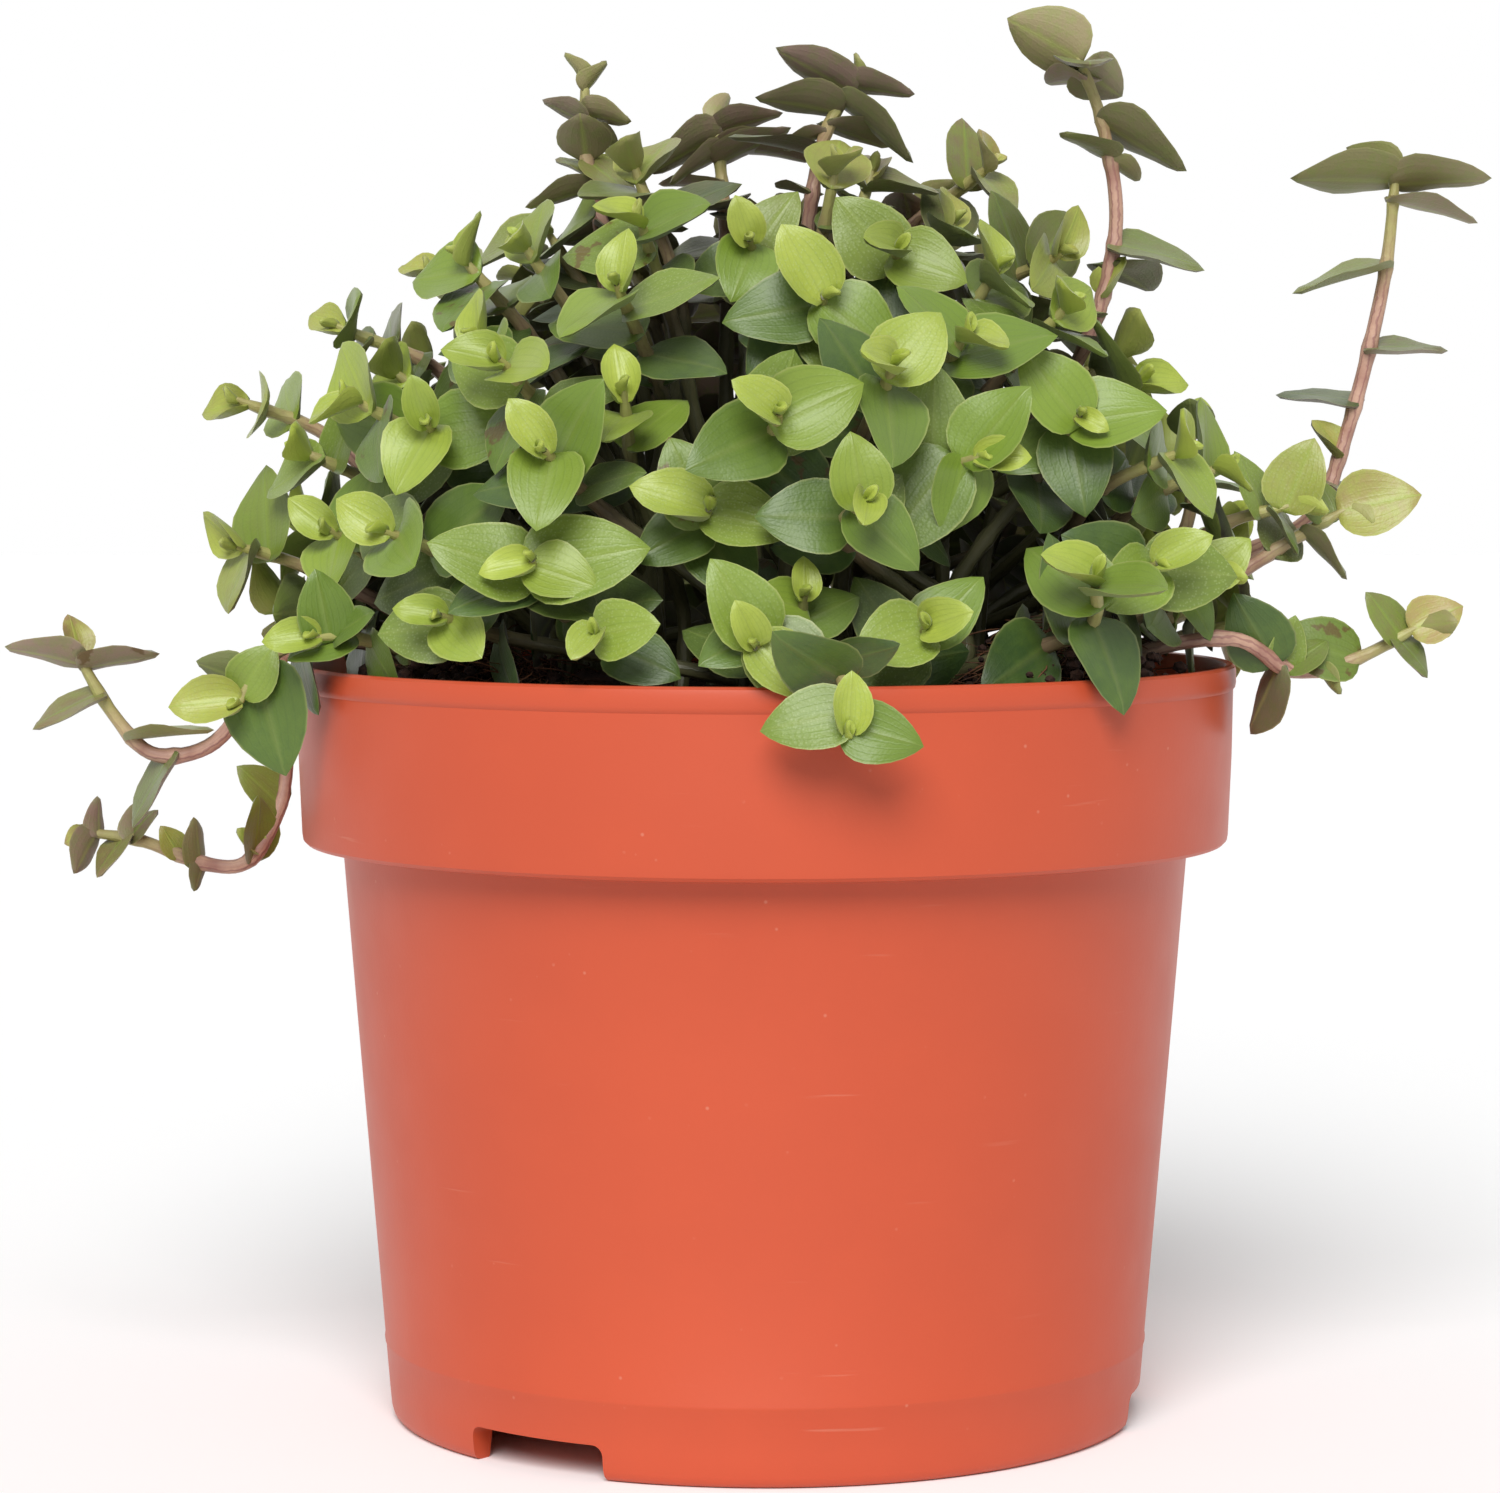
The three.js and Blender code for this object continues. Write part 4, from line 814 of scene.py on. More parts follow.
            (1.8, 3, (-9.8, -1, 6.2), (0.45, 0.55, 0.7)), (3.6, 3, (10.8, -2.5, -7.2), (0.5, 0.3, 0.8)),
            (5, 3, (-11, -2.5, 3), (0.2, 0.45, 0.85)), (7, 3, (8.6, 6, -2), (0, 0.2, 1)),
            (8, 3, (-6, 4, -1.5), (0, 0.1, 1)), (11, 3, (7, -2.5, -4.2), (0.35, 0.35, 0.85)),
            (16, 4, (-5, 5, 2), (0.2, 0.1, 1)),
        ],
    ),
    cutting(tip=(29, 4, 160.7), aim=(0.6, -0.5, 0.6), leaf=10.5, first=60),
    cutting(tip=(37.5, -8, 149), aim=(0.65, -0.6, 0.45), leaf=12, first=0),
    cutting(
        name="upright_right", tip=(39.8, 0, 174.3), aim=(-0.5, -0.1, 0.85), leaf=12, first=70, count=7,
        start=5, gap=11, via=[(30, 4, 118), (40.8, 0, 137), (44.8, 0, 152), (43.2, 0, 165)],
        leaves=[
            (0.3, 2, (-9.2, 2, 6), (0.2, 0.85, 0.45)), (1.2, 3, (0.6, -10.5, -0.6), (0, 0.1, 1)),
            (2, 3, (5.8, 6, -3), (-0.3, 0.75, 0.55)), (3.2, 3, (-5, 7, 1), (0, 0.4, 0.9)),
            (8.8, 3, (11.8, -1.5, -6.8), (0.4, 0.42, 0.8)), (13.5, 3, (-7, -4.5, 3.8), (0.45, 0.3, 0.85)),
            (14.2, 2, (4.6, 3.5, -1.8), (0.2, 0.2, 0.95)), (25, 3, (12.6, -1.5, -2.4), (0, -0.35, 0.93)),
            (31.5, 1, (2.4, -1.5, 5.4), (-0.6, -0.5, 0.4)), (34, 3, (-5.5, -4, 1.2), (0, -0.3, 0.95)),
        ],
    ),
    cutting(
        name="upright_far_right", tip=(80.6, 0, 159.5), aim=(0.05, -0.05, 1), leaf=12, first=95, turn=165,
        count=7, start=5, gap=12,
        via=[(49, 6, 104), (60, 3, 110), (70, 0, 115.5), (74.5, 0, 126), (79, 0, 144.8)],
        leaves=[
            (0.3, 2, (-6.2, 2.5, 4.4), (0.3, 0.6, 0.7)), (1, 3, (-14.6, -1, 1.2), (0, 0.47, 0.88)),
            (1.3, 3, (13.1, -1, 1.2), (0, 0.42, 0.9)), (3.6, 3, (12.2, 2, -1.6), (0, 0.05, 1)),
            (12, 3, (-13.2, -1, -3.2), (-0.2, -0.1, 0.97)), (23, 3, (10.8, -1, 1), (0, -0.22, 0.97)),
            (37, 1, (-3.6, -1, 5), (0.5, -0.6, 0.4)),
        ],
    ),
    cutting(
        name="upright_short", tip=(54.9, 1, 127), aim=(0.05, -0.2, 1), leaf=12, first=130, count=5,
        start=3, gap=8, via=[(42, 2, 103), (53.5, 0, 113)],
        leaves=[
            (0.3, 2, (1.5, 3, 4.8), (-0.1, -0.7, 0.6)), (1, 3, (-1, -6.4, 5.6), (0, 0.7, 0.72)),
            (7, 3, (8.5, 2, -1), (0, -0.15, 1)),
        ],
    ),
    cutting(
        name="right_leaning", tip=(73.8, -9, 116.8), aim=(0.9, -0.3, 0.2), leaf=12, first=-90, count=6,
        start=4, gap=6.5, via=[(44, -7, 101), (58, -8, 107.5), (67, -9, 113)],
        leaves=[
            (0.2, 1, (3.6, -2, -2), (0.2, 0.9, 0.3)), (0.8, 2, (10.4, -2, 2.4), (0.1, -0.93, 0.33)),
            (3.2, 3, (-2, 2, 6.5), (0.3, -0.9, 0)), (6.5, 3, (6.5, -3, -5.4), (0.4, 0.3, 0.8)),
        ],
    ),
    cutting(
        name="right_rising", tip=(66.5, -12, 117.3), aim=(0.9, -0.4, 0.1), leaf=12, first=0, count=6,
        start=4, gap=6, via=[(44, -4, 104), (57, -9, 114.2)],
        leaves=[
            (0.2, 1, (4.6, -3, -0.6), (0.1, 0.85, 0.5)), (1, 2, (3.6, -1, 9.4), (-0.25, -0.93, 0.1)),
            (3, 3, (4.4, -2, -5.6), (0.75, -0.2, 0.6)), (4.6, 3, (-3, -2, 8.6), (0.75, -0.6, 0.25)),
            (9, 3, (-6, 4, 3), (0.4, 0, 0.9)),
        ],
    ),
    cutting(
        name="right_low", tip=(55.6, -22, 108.7), aim=(0.7, -0.6, 0.2), leaf=12, first=20, count=6,
        start=4, via=[(40, -17, 99), (49, -20, 105)],
        leaves=[
            (0.2, 1, (4.4, -2.5, 0), (0, 0.9, 0.4)), (1, 2, (5.6, -1, 5.6), (-0.3, -0.92, 0.2)),
            (2.6, 3, (-3, -2, 7.5), (0.6, -0.7, 0.3)), (4.4, 3, (3.5, -3, -6.5), (0.6, -0.7, 0.4)),
        ],
    ),
    cutting(
        name="trailing_right", tip=(82.5, -12, 102), aim=(0.6, -0.2, 0.6), leaf=12, first=60, count=6,
        start=5, gap=8, via=[(46, -20, 98.5), (58, -20, 100.8), (66, -15.5, 96.6), (74, -13, 97.8)],
        leaves=[
            (0.2, 1, (5, -2.6, 0.8), (-0.1, 0.93, -0.1)), (0.8, 2, (6.6, -0.5, 3.4), (-0.3, -0.93, 0.2)),
            (3, 3, (-4.6, -1, 6.4), (0.55, -0.75, 0.3)), (3.6, 3, (4.8, -2, -4.6), (0.6, -0.55, 0.55)),
            (9.5, 4, (-11, -2, 3.8), (-0.05, -0.87, 0.5)), (14, 2, (2.8, -1.5, -3.4), (0.5, 0.4, 0.6)),
            (19, 3, (6, 2, 4), (0, -0.6, 0.7)), (20, 3, (2, -1, 7), (0.4, -0.9, 0)),
            (21.5, 4, (-5.5, -2, 9), (-0.3, -0.92, 0.25)),
        ],
    ),
    cutting(
        name="trailing_left", tip=(-86.5, -14, 98.6), aim=(-0.55, -0.1, 0.85), leaf=12, first=80, count=5,
        start=5, gap=9,
        via=[
            (-47, -11, 98.5), (-58, -12, 100.8), (-64.5, -13.5, 93), (-70, -14, 87), (-77, -14, 86),
            (-82, -14, 91),
        ],
        leaves=[
            (0.3, 1, (-1, 0.5, 5.6), (0.5, -0.6, 0)), (1.2, 3, (-10, -1, 3.2), (0.2, 0.5, 0.84)),
            (1.8, 3, (10.4, -1, 2.4), (-0.15, 0.35, 0.93)), (6, 3, (-9.2, -2.5, -4), (-0.3, -0.35, 0.9)),
            (12.5, 3, (11.4, -1, 1.6), (-0.1, 0.05, 1)),
            (18.5, 3, (-5.6, -2.5, -9.4), (-0.8, -0.4, 0.45)),
        ],
    ),
    cutting(
        name="trailing_left_low", tip=(-89.5, 13, 73.8), aim=(-1, -0.1, 0.1), leaf=11, first=0, turn=160,
        count=5, start=5, gap=7.5,
        via=[
            (-44, 24, 98.5), (-55, 25, 100.8), (-62.5, 23, 92), (-64, 18, 78), (-68, 14.5, 70),
            (-74, 14, 69.5), (-82, 13, 72.6),
        ],
        leaves=[
            (0.3, 1, (-3.4, 0, -1.6), (0.3, -0.8, 0.5)), (1.2, 3, (-3.4, -3, -5.4), (-0.8, 0.55, 0.1)),
            (1.6, 3, (-0.6, 1, 5.4), (-0.85, 0.5, 0)), (5.5, 3, (-4.2, -4, -5), (-0.6, -0.5, 0.6)),
            (6.2, 3, (3.4, -1, 4.6), (-0.6, -0.6, 0.5)), (7, 2, (-1.6, 2.5, 4.8), (-0.8, 0.55, 0)),
            (12.5, 2, (-2.2, -1, 4.4), (0.55, -0.75, 0.3)), (15.5, 3, (-1, -1.5, 6.8), (-0.85, 0.5, 0)),
            (15.9, 3, (-1.4, -2, -4), (-0.85, 0.5, 0)), (23, 2, (1.6, -2, 9), (0.8, -0.5, 0)),
            (24, 1, (-2.4, -1.5, 3.5), (0.5, -0.7, 0.5)), (31, 3, (-5.6, -2, 6.2), (0.45, -0.7, 0.5)),
        ],
    ),
    cutting(
        name="front_low", tip=(-20, -56, 103.5), aim=(0, -0.85, 0.3), leaf=10.5, first=150, count=5,
        via=[(-17, -43, 98), (-18.5, -50, 101.5)],
    ),
]
dome = {"middle": 97, "radiusX": 64, "radiusY": 62, "radiusZ": 64, "candidates": 400, "spacing": 12.5}
goldenAngle = math.radians(137.508)
clumpSectors = 8
stemShape = {"radius": 0.95, "sink": 2, "step": 1.3, "bud": 0.34, "swell": 0.22, "swellReach": 0.9}
leafPlate = {"thickness": 0.8, "clearance": 1.25}


def unit(v):
    return v / np.linalg.norm(v)


def fillMound():
    tips = [np.array(s["tip"], float) for s in shoots]
    for i in range(dome["candidates"]):
        rise = 0.08 + 0.9 * (i + 0.5) / dome["candidates"]
        spread = math.sqrt(1 - rise * rise)
        bearing = i * goldenAngle
        puff = 0.94 + 0.1 * vary(i, 3)
        tip = np.array(
            [
                dome["radiusX"] * spread * math.cos(bearing) * puff,
                dome["radiusY"] * spread * math.sin(bearing) * puff,
                dome["middle"] + dome["radiusZ"] * rise * puff,
            ]
        )
        if any(np.linalg.norm(other - tip) < dome["spacing"] for other in tips):
            continue
        tips.append(tip)
        sector = math.floor(bearing / (2 * math.pi) % 1 * clumpSectors)
        ring = 0 if rise > 0.55 else 1
        toward = (sector + 0.5) / clumpSectors * 2 * math.pi + ring * 0.3
        reach = 37 if ring else 17
        shoots.append(
            dict(
                name=("outer_clump_" if ring else "inner_clump_") + str(sector + 1),
                root=(reach * math.cos(toward), reach * math.sin(toward)),
                tip=tuple(tip),
                aim=(tip[0] / dome["radiusX"], tip[1] / dome["radiusY"], 0.15 + rise * 0.75),
                leaf=10.8 + 3 * vary(i, 7),
                first=360 * vary(i, 11),
                turn=150 if i % 2 else -150,
                count=7,
            )
        )


def routeOf(shoot):
    # up out of the soil, then to the tip along the way that the stem grows at its end
    tip = np.array(shoot["tip"], float)
    aim = unit(np.array(shoot["aim"], float))
    inward = min(0.62, 44 / math.hypot(tip[0], tip[1]))
    if "root" in shoot:
        x, y = shoot["root"]
    elif "via" in shoot:
        x, y = shoot["via"][0][0] * 0.9, shoot["via"][0][1] * 0.9
    else:
        x, y = tip[0] * inward, tip[1] * inward
    root = np.array([x, y, soilHeight(x, y) - stemShape["sink"]])
    if "via" in shoot:
        return [root] + [np.array(p, float) for p in shoot["via"]] + [tip]
    reach = 0.33 * np.linalg.norm(tip - root)
    before = tip - reach * aim
    lift = np.array([x * 0.97, y * 0.97, root[2] + 0.45 * (before[2] - root[2])])
    return [root, lift, before, tip]


def smoothLine(points, steps):
    # a Catmull-Rom line through the points, with the ends carried on straight
    points = [2 * points[0] - points[1]] + points + [2 * points[-1] - points[-2]]
    line = []
    spans = len(points) - 3
    for n in range(steps + 1):
        at = spans * n / steps
        i = min(int(at), spans - 1)
        s = at - i
        p0, p1, p2, p3 = points[i : i + 4]
        t0, t1 = (p2 - p0) / 2, (p3 - p1) / 2
        line.append(p1 + s * t0 + s * s * (3 * (p2 - p1) - 2 * t0 - t1) + s**3 * (2 * (p1 - p2) + t0 + t1))
    return np.array(line)


def walk(points):
    line = smoothLine(points, 12 * (len(points) - 1))
    lengths = np.linalg.norm(line[1:] - line[:-1], axis=1)
    fromTip = np.append(np.cumsum(lengths[::-1])[::-1], 0)
    return {"points": points, "line": line, "fromTip": fromTip, "length": fromTip[0]}


def placeOn(path, distance):
    i = len(path["line"]) - 2
    while i > 0 and path["fromTip"][i] < distance:
        i -= 1
    a, b = path["line"][i], path["line"][i + 1]
    share = (path["fromTip"][i] - distance) / (path["fromTip"][i] - path["fromTip"][i + 1])
    return a + share * (b - a), unit(b - a)


sizeByRank = [0.26, 0.6, 0.86, 1, 1, 0.98, 0.95, 0.92, 0.88]
widthByRank = [0.9, 0.92, 0.9, 0.8, 0.8, 0.8, 0.8, 0.8, 0.8]
pitchByRank = [14, 46, 68, 80, 86, 92, 96, 98, 100]
cupByRank = [1.3, 0.62, 0.3, 0.17, 0.12, 0.1, 0.08, 0.08, 0.08]
stepByRank = [0.04, 0.22, 0.52, 1.0, 1.7, 2.5, 3.4, 4.3, 5.3]
outlineStops = np.array([0.12, 0.37, 0.68])
ribStops = np.array([0.25, 0.5, 0.75, 1])


def halfWidth(v):
    # half a leaf's width at v, from 0 at its base to 1 at its pointed tip
    return 1.157 * v**0.45 * (1 - v) ** 0.85


def bendOf(leaf, u, v):
    return leaf["cup"] * v * v / (leaf["width"] / 2) - leaf["droop"] * u * u / leaf["length"]


def pointsOn(leaf, u, v):
    w = bendOf(leaf, u, v)
    return (
        leaf["base"] + np.outer(u, leaf["along"]) + np.outer(v, leaf["across"]) + np.outer(w, leaf["normal"])
    )


def layLeaf(spot, along, facing, length, rank, key):
    # a leaf at a spot on its stem, growing along one way with its upper side facing another
    along = unit(along)
    normal = unit(facing - facing @ along * along)
    leaf = {
        "base": spot,
        "along": along,
        "normal": normal,
        "across": np.cross(along, normal),
        "length": length,
        "width": length * widthByRank[rank] * (0.93 + 0.14 * vary(key, 5)),
        "cup": cupByRank[rank] * (0.8 + 0.4 * vary(key, 6)),
        "droop": 0.02 + 0.12 * vary(key, 8),
        "rank": rank,
        "key": key,
    }
    leaf["middle"] = pointsOn(leaf, np.array([length / 2]), np.array([0.0]))[0]
    half = leaf["width"] * halfWidth(outlineStops)
    u = np.concatenate([outlineStops, [1], outlineStops[::-1], outlineStops[:1]]) * length
    v = np.concatenate([half, [0], -half[::-1], half[:1]])
    leaf["outline"] = pointsOn(leaf, u, v)
    leaf["rib"] = pointsOn(leaf, ribStops * length, np.zeros(4))
    return leaf


def aimLeaf(spot, toward, around, pitch, length, rank, key):
    # the same, with its ways worked out from its turn about the stem
    up = np.array([0, 0.5, 0.866])
    zero = unit(up - up @ toward * toward)
    out = zero * math.cos(around) + np.cross(toward, zero) * math.sin(around)
    along = toward * math.cos(pitch) + out * math.sin(pitch)
    facing = toward * math.sin(pitch) - out * math.cos(pitch)
    roll = 0.7 * (vary(key, 9) - 0.5)
    return layLeaf(spot, along, facing + roll * np.cross(along, facing), length, rank, key)


def passesThrough(leaf, chain):
    # true if a line of points crosses the leaf, or has a point closer to it than the clearance
    d = chain - leaf["base"]
    u, v = d @ leaf["along"], d @ leaf["across"]
    w = d @ leaf["normal"] - bendOf(leaf, np.clip(u, 0, leaf["length"]), v)
    reachU, reachV = 0.5 * leaf["length"] + 0.6, leaf["width"] / 2 + 0.6

    def covers(u, v):
        return ((u - 0.48 * leaf["length"]) / reachU) ** 2 + (v / reachV) ** 2 < 1

    if np.any((np.abs(w) < leafPlate["clearance"]) & covers(u, v)):
        return True
    crossing = np.nonzero(w[:-1] * w[1:] < 0)[0]
    if not len(crossing):
        return False
    s = w[crossing] / (w[crossing] - w[crossing + 1])
    return bool(
        np.any(
            covers(
                u[crossing] + s * (u[crossing + 1] - u[crossing]),
                v[crossing] + s * (v[crossing + 1] - v[crossing]),
            )
        )
    )


def leavesClash(a, b):
    return any(
        passesThrough(one, other["outline"]) or passesThrough(one, other["rib"])
        for one, other in ((a, b), (b, a))
    )


def hitsPot(leaf):
    p = np.concatenate([leaf["outline"], leaf["rib"]])
    r = np.hypot(p[:, 0], p[:, 1])
    inner = potShape["bandFootRadius"] - 2.4
    inRim = (r > inner) & (r < potShape["rimRadius"] + 1.2)
    if np.any(inRim & (p[:, 2] < potShape["height"] + 1)):
        return True
    share = np.minimum(1, r / potShape["wallTopRadius"])
    ground = soilShape["middleHeight"] - (soilShape["middleHeight"] - soilShape["edgeHeight"]) * share**2
    return bool(np.any((r <= inner) & (p[:, 2] < ground + 0.9)))


def growLeaves(paths):
    coarse = [path["line"][::2] for path in paths]
    turns = [0, 13, -13, 26, -26, 40, -40, 56, -56]
    tilts = [0, -14, 11, -26]
    shrinks = [1, 0.84, 0.7]
    grown = []

    def keep(leaf, shoot, distance):
        leaf["shoot"] = shoot
        leaf["distance"] = distance
        grown.append(leaf)

    # the leaves that are listed one by one
    for i, shoot in enumerate(shoots):
        for n, (distance, rank, reach, facing) in enumerate(shoot.get("leaves", [])):
            spot = placeOn(paths[i], distance)[0]
            along = np.array(reach, float)
            leaf = layLeaf(spot, along, np.array(facing, float), np.linalg.norm(along), rank, 16 * i + n)
            keep(leaf, i, distance)

    def findLeaf(i, rank, distance):
        shoot = shoots[i]
        spot, toward = placeOn(paths[i], distance)
        key = 16 * i + rank
        full = shoot["leaf"] * sizeByRank[rank] * (0.94 + 0.12 * vary(key, 2))
        around = shoot["first"] + (rank - 1) * shoot["turn"] + 16 * (vary(key, 4) - 0.5)
        for length in (full * s for s in shrinks):
            for pitch in (pitchByRank[rank] + tilt for tilt in tilts):
                for turn in turns:
                    turned, tilted = math.radians(around + turn), math.radians(pitch)
                    leaf = aimLeaf(spot, toward, turned, tilted, length, rank, key)
                    if hitsPot(leaf):
                        continue
                    apart = np.linalg.norm(middles - leaf["middle"], axis=1)
                    near = np.nonzero((owners != i) & (apart <= (reaches + length) / 2 + 2))[0]
                    if any(leavesClash(leaf, grown[n]) for n in near):
                        continue
                    if not stemsCross(leaf, coarse, i):
                        return leaf
        return None

    # the rest, from the tips downwards, each where it clears what is there already
    for rank in range(max(s["count"] for s in shoots)):
        for i, shoot in enumerate(shoots):
            distance = stepByRank[rank] * shoot.get("gap", 4.8)
            if rank < shoot.get("start", 0) or rank >= shoot["count"] or distance > paths[i]["length"] - 3:
                continue
            middles = np.array([leaf["middle"] for leaf in grown])
            reaches = np.array([leaf["length"] for leaf in grown])
            owners = np.array([leaf["shoot"] for leaf in grown])
            found = findLeaf(i, rank, distance)
            if found:
                keep(found, i, distance)
    return grown


def stemsCross(leaf, coarse, own):
    for i, line in enumerate(coarse):
        if i == own:
            continue
        close = np.linalg.norm(line[1:] - leaf["middle"], axis=1) <= leaf["length"]
        for n in np.nonzero(close)[0]:
            if passesThrough(leaf, line[n : n + 2]):
                return True
    return False


fillMound()
paths = [walk(routeOf(s)) for s in shoots]
grown = growLeaves(paths)
print("shoots laid out:", len(shoots), "with", len(grown), "leaves")

leafRows = [0, 0.02, 0.07, 0.15, 0.27, 0.4, 0.54, 0.68, 0.81, 0.92, 1]


def makeMasterLeaf():
    # a flat leaf of length and width 1 along X and Y: two sheets that meet all round the margin
    deselectAll()
    rows = len(leafRows) - 1
    bpy.ops.mesh.primitive_grid_add(x_subdivisions=rows, y_subdivisions=4, size=1, location=(0, 0, 0))
    leaf = bpy.context.object
    leaf.name = "leafMaster"
    bm = bmesh.new()
    bm.from_mesh(leaf.data)
    for v in bm.verts:
        row = round((v.co.x + 0.5) * rows)
        column = v.co.y * 2
        v.co.x = leafRows[row]
        v.co.y = column * float(halfWidth(leafRows[row]))
    bm.to_mesh(leaf.data)
    bm.free()
    selectOnly(leaf)
    editMode()
    bpy.ops.mesh.select_all(action="SELECT")
    bpy.ops.mesh.duplicate()
    bpy.ops.mesh.flip_normals()
    leaf.data.materials.append(leafTop)
    leaf.data.materials.append(leafUnder)
    leaf.active_material_index = 1
    bpy.ops.object.material_slot_assign()
    bpy.ops.mesh.select_all(action="SELECT")
    objectMode()
    # the upper sheet rises and the lower one drops, but not at the margin
    bm = bmesh.new()
    bm.from_mesh(leaf.data)
    margin = {v for e in bm.edges if e.is_boundary for v in e.verts}
    for f in bm.faces:
        for v in f.verts:
            if v not in margin:
                v.co.z = -0.5 if f.material_index else 0.5
        f.smooth = True
    bmesh.ops.remove_doubles(bm, verts=bm.verts, dist=1e-5)
    for e in bm.edges:
        if len({f.material_index for f in e.link_faces}) == 2:
            e.smooth = False
    bm.to_mesh(leaf.data)
    bm.free()
    leaf.data.uv_layers[0].name = "leafUv"
    return leaf


masterLeaf = makeMasterLeaf()
flat = np.array([v.co for v in masterLeaf.data.vertices])
loopVertex = np.array([loop.vertex_index for loop in masterLeaf.data.loops])
rowHalf = np.maximum(halfWidth(np.clip(flat[:, 0], 1e-6, 1 - 1e-6)), 1e-4)
leafUv = np.stack([flat[:, 0], 0.5 + 0.5 * np.clip(flat[:, 1] / rowHalf, -1, 1)], axis=1)
masterLeaf.data.uv_layers["leafUv"].data.foreach_set("uv", leafUv[loopVertex].ravel())


def leafShape(leaf):
    # the master, bent about its length as it cups, and down along it as it droops
    length, width, key = leaf["length"], leaf["width"], leaf["key"]
    u, v = flat[:, 0] * length, flat[:, 1] * width
    curl = 4 * leaf["cup"] / width
    # a leaf clasps its stem at the base, and a young one is a bowl about the bud
    along = flat[:, 0]
    bend = 1 + 1.6 * np.exp(-along / 0.08)
    if leaf["rank"] < 3:
        bend = bend * (1.3 - 0.6 * along)
    theta = curl * bend * v
    side = np.sin(theta) / (curl * bend)
    rise = (1 - np.cos(theta)) / (curl * bend) - leaf["droop"] * u * u / length
    ripple = 0.022 * length * np.sin(2 * math.pi * (1.4 * u / length + vary(key, 21)))
    rise = rise + ripple * (v / width) * 2 * (1 if vary(key, 22) > 0.5 else -1)
    rise = rise + 0.05 * np.abs(v)
    thick = flat[:, 2] * leafPlate["thickness"] * (0.75 + 0.25 * min(1, length / 12))
    side = side - thick * np.sin(theta)
    rise = rise + thick * np.cos(theta)
    u = u - (0.3 + 0.05 * length if leaf["rank"] > 1 else 0.25)
    spread = leaf["base"] + np.outer(u, leaf["along"]) + np.outer(side, leaf["across"])
    return spread + np.outer(rise, leaf["normal"])


def setAttribute(mesh, name, values):
    attribute = mesh.attributes.new(name, "FLOAT", "POINT")
    attribute.data.foreach_set("value", np.asarray(values, np.float32))


def bronzeOf(leaf):
    # the high shoots at the back and the long ones at the sides are bronzed
    x, y, z = leaf["middle"]
    high = (z - 140) / 26 + (y + 12) / 40
    wide = (abs(x) - 62) / 16
    return max(0, min(1, max(high, wide) * 0.62 + 0.35 * (vary(leaf["key"], 31) - 0.4)))


ageByRank = [0.0, 0.1, 0.34, 0.55, 0.72, 0.84, 0.92, 0.97, 1.0]


def placeLeaf(leaf):
    made = masterLeaf.copy()
    made.data = masterLeaf.data.copy()
    bpy.context.scene.collection.objects.link(made)
    mesh = made.data
    mesh.vertices.foreach_set("co", (leafShape(leaf) * mm).ravel())
    count = len(mesh.vertices)
    # a leaf deeper in the mound is made older and so darker: painted shade, added to its age by rank
    depth = math.dist(leaf["middle"], (0, 0, 97)) / 64
    ageAndShade = ageByRank[leaf["rank"]] + 0.3 * (vary(leaf["key"], 33) - 0.5) + 0.25 * (1 - depth)
    setAttribute(mesh, "leafAgeAndShade", np.full(count, max(0, min(1, ageAndShade))))
    setAttribute(mesh, "leafBronze", np.full(count, bronzeOf(leaf)))
    setAttribute(mesh, "leafTone", np.full(count, vary(leaf["key"], 35)))
    setAttribute(mesh, "leafWorn", np.full(count, float(vary(leaf["key"], 37) > 0.96 and leaf["rank"] > 2)))
    mesh.update()
    return made


def makeStem(shoot, path, nodes, name):
    count = max(8, int(path["length"] / stemShape["step"]))
    line = smoothLine(path["points"], count)
    lengths = np.linalg.norm(line[1:] - line[:-1], axis=1)
    fromTip = np.append(np.cumsum(lengths[::-1])[::-1], 0)
    # nothing is left bare beyond the first leaf
    kept = fromTip >= min(nodes) - 0.6
    line, fromTip = line[kept], fromTip[kept]
    swell = np.zeros(len(line))
    for d in nodes:
        swell = np.maximum(swell, np.exp(-(((fromTip - d) / stemShape["swellReach"]) ** 2)))
    fromEnd = fromTip - fromTip[-1]
    taper = stemShape["bud"] + 0.36 * np.clip(fromEnd / 3.5, 0, 1) + 0.3 * np.clip(fromTip / 18, 0, 1)
    radius = stemShape["radius"] * taper * (1 + stemShape["swell"] * swell)
    curve = bpy.data.curves.new(name, "CURVE")
    curve.dimensions = "3D"
    curve.bevel_depth = mm
    curve.bevel_resolution = 2
    curve.use_fill_caps = True
    spline = curve.splines.new("POLY")
    spline.points.add(len(line) - 1)
    for point, p, r in zip(spline.points, line, radius):
        point.co = (*(p * mm), 1)
        point.radius = r
    made = bpy.data.objects.new(name, curve)
    bpy.context.scene.collection.objects.link(made)
    selectOnly(made)
    bpy.ops.object.convert(target="MESH")
    made = bpy.context.object
    sides = len(made.data.vertices) // len(line)
    ringOf = np.minimum(np.arange(len(made.data.vertices)) // sides, len(line) - 1)
    setAttribute(made.data, "fromTip", fromTip[ringOf])
    setAttribute(made.data, "nodeRing", swell[ringOf])
    setAttribute(made.data, "around", np.arange(len(made.data.vertices)) % sides / sides)
    depth = np.linalg.norm(line - np.array([0, 0, dome["middle"]]), axis=1) / dome["radiusX"]
    setAttribute(made.data, "inside", np.clip((0.98 - depth) / 0.25, 0, 1)[ringOf])
    for f in made.data.polygons:
        f.use_smooth = len(f.vertices) == 4
    made.data.materials.clear()
    made.data.materials.append(stemSkin)
    return made


plants = {}
mounded = 0
for i, shoot in enumerate(shoots):
    if "name" not in shoot:
        mounded += 1
    name = shoot.get("name", f"mound_{mounded:02d}")
    plants.setdefault(name, []).append(i)

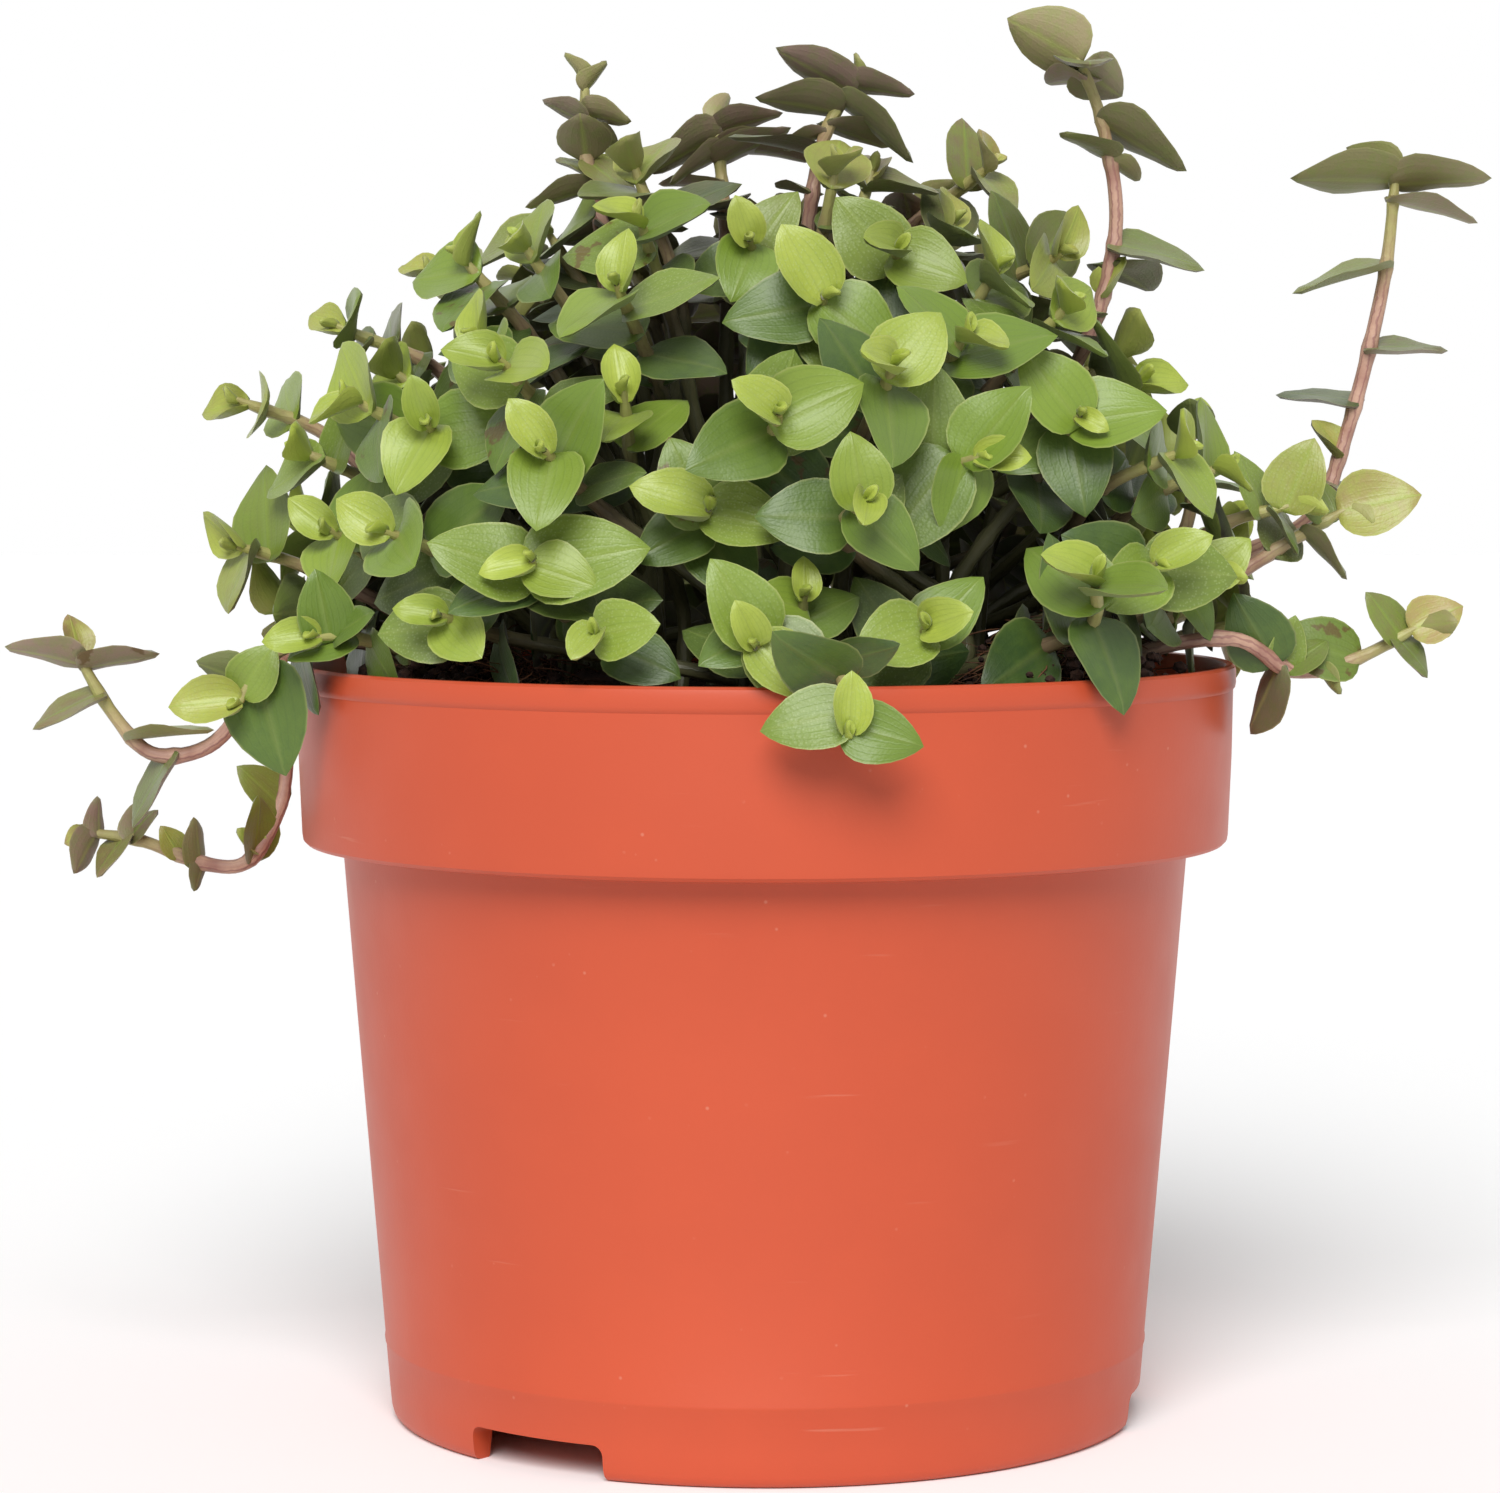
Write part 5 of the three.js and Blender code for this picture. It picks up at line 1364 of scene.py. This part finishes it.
for name, members in plants.items():
    leaves = [placeLeaf(leaf) for leaf in grown if leaf["shoot"] in members]
    foliage = joinAll(leaves, name + "_leaves")
    hand(foliage, "foliage", name)
    stems = []
    for i in members:
        nodes = [leaf["distance"] for leaf in grown if leaf["shoot"] == i]
        gap = shoots[i].get("gap", 4.8)
        last = max(nodes) if nodes else 0
        nodes += [last + gap * 1.1 * n for n in range(1, 12)]
        stems.append(makeStem(shoots[i], paths[i], nodes, f"{name}_stem_{i}"))
    hand(joinAll(stems, name + "_stems"), "foliage", name)
bpy.data.objects.remove(masterLeaf)
print("cuttings made:", len(plants))

deselectAll()
bpy.ops.mesh.primitive_plane_add(size=8, location=(0, 0, 0))
floor = bpy.context.object
floor.name = "floor"
floorWhite, t, shader = newMaterial("floorWhite", Roughness=0.9)
shader.inputs["Base Color"].default_value = (0.98, 0.98, 0.98, 1)
floor.data.materials.append(floorWhite)

studioLook = {
    "seen": 1.0,
    "ambient": 0.36,
    "keyStrength": 3.3,
    "keyAngle": 35,
    "keyFrom": (-0.1, -1.0, 0.8),
}
world = bpy.data.worlds.new("studio")
world.use_nodes = True
t = Tree(world.node_tree)
background = next(n for n in world.node_tree.nodes if n.type == "BACKGROUND")
background.inputs[0].default_value = (1, 1, 1, 1)
lightPath = t.add("ShaderNodeLightPath")
t.feed(
    background,
    1,
    t.ramp(lightPath.outputs["Is Diffuse Ray"], 0.0, 1.0, studioLook["seen"], studioLook["ambient"]),
)
bpy.context.scene.world = world

key = bpy.data.lights.new("key", "SUN")
key.energy = studioLook["keyStrength"]
key.angle = math.radians(studioLook["keyAngle"])
lamp = bpy.data.objects.new("key", key)
lamp.rotation_euler = Vector([-c for c in studioLook["keyFrom"]]).to_track_quat("-Z", "Y").to_euler()
bpy.context.scene.collection.objects.link(lamp)

cameraPlace = {"lens": 112.06, "sensor": 36, "at": (-0.00193, -0.6, 0.1273), "down": 3.94}
camera = bpy.data.cameras.new("camera")
camera.lens = cameraPlace["lens"]
camera.sensor_width = cameraPlace["sensor"]
eye = bpy.data.objects.new("camera", camera)
eye.location = cameraPlace["at"]
eye.rotation_euler = (math.radians(90 - cameraPlace["down"]), 0, 0)
bpy.context.scene.collection.objects.link(eye)
bpy.context.scene.camera = eye
bpy.context.scene.view_settings.view_transform = "Standard"
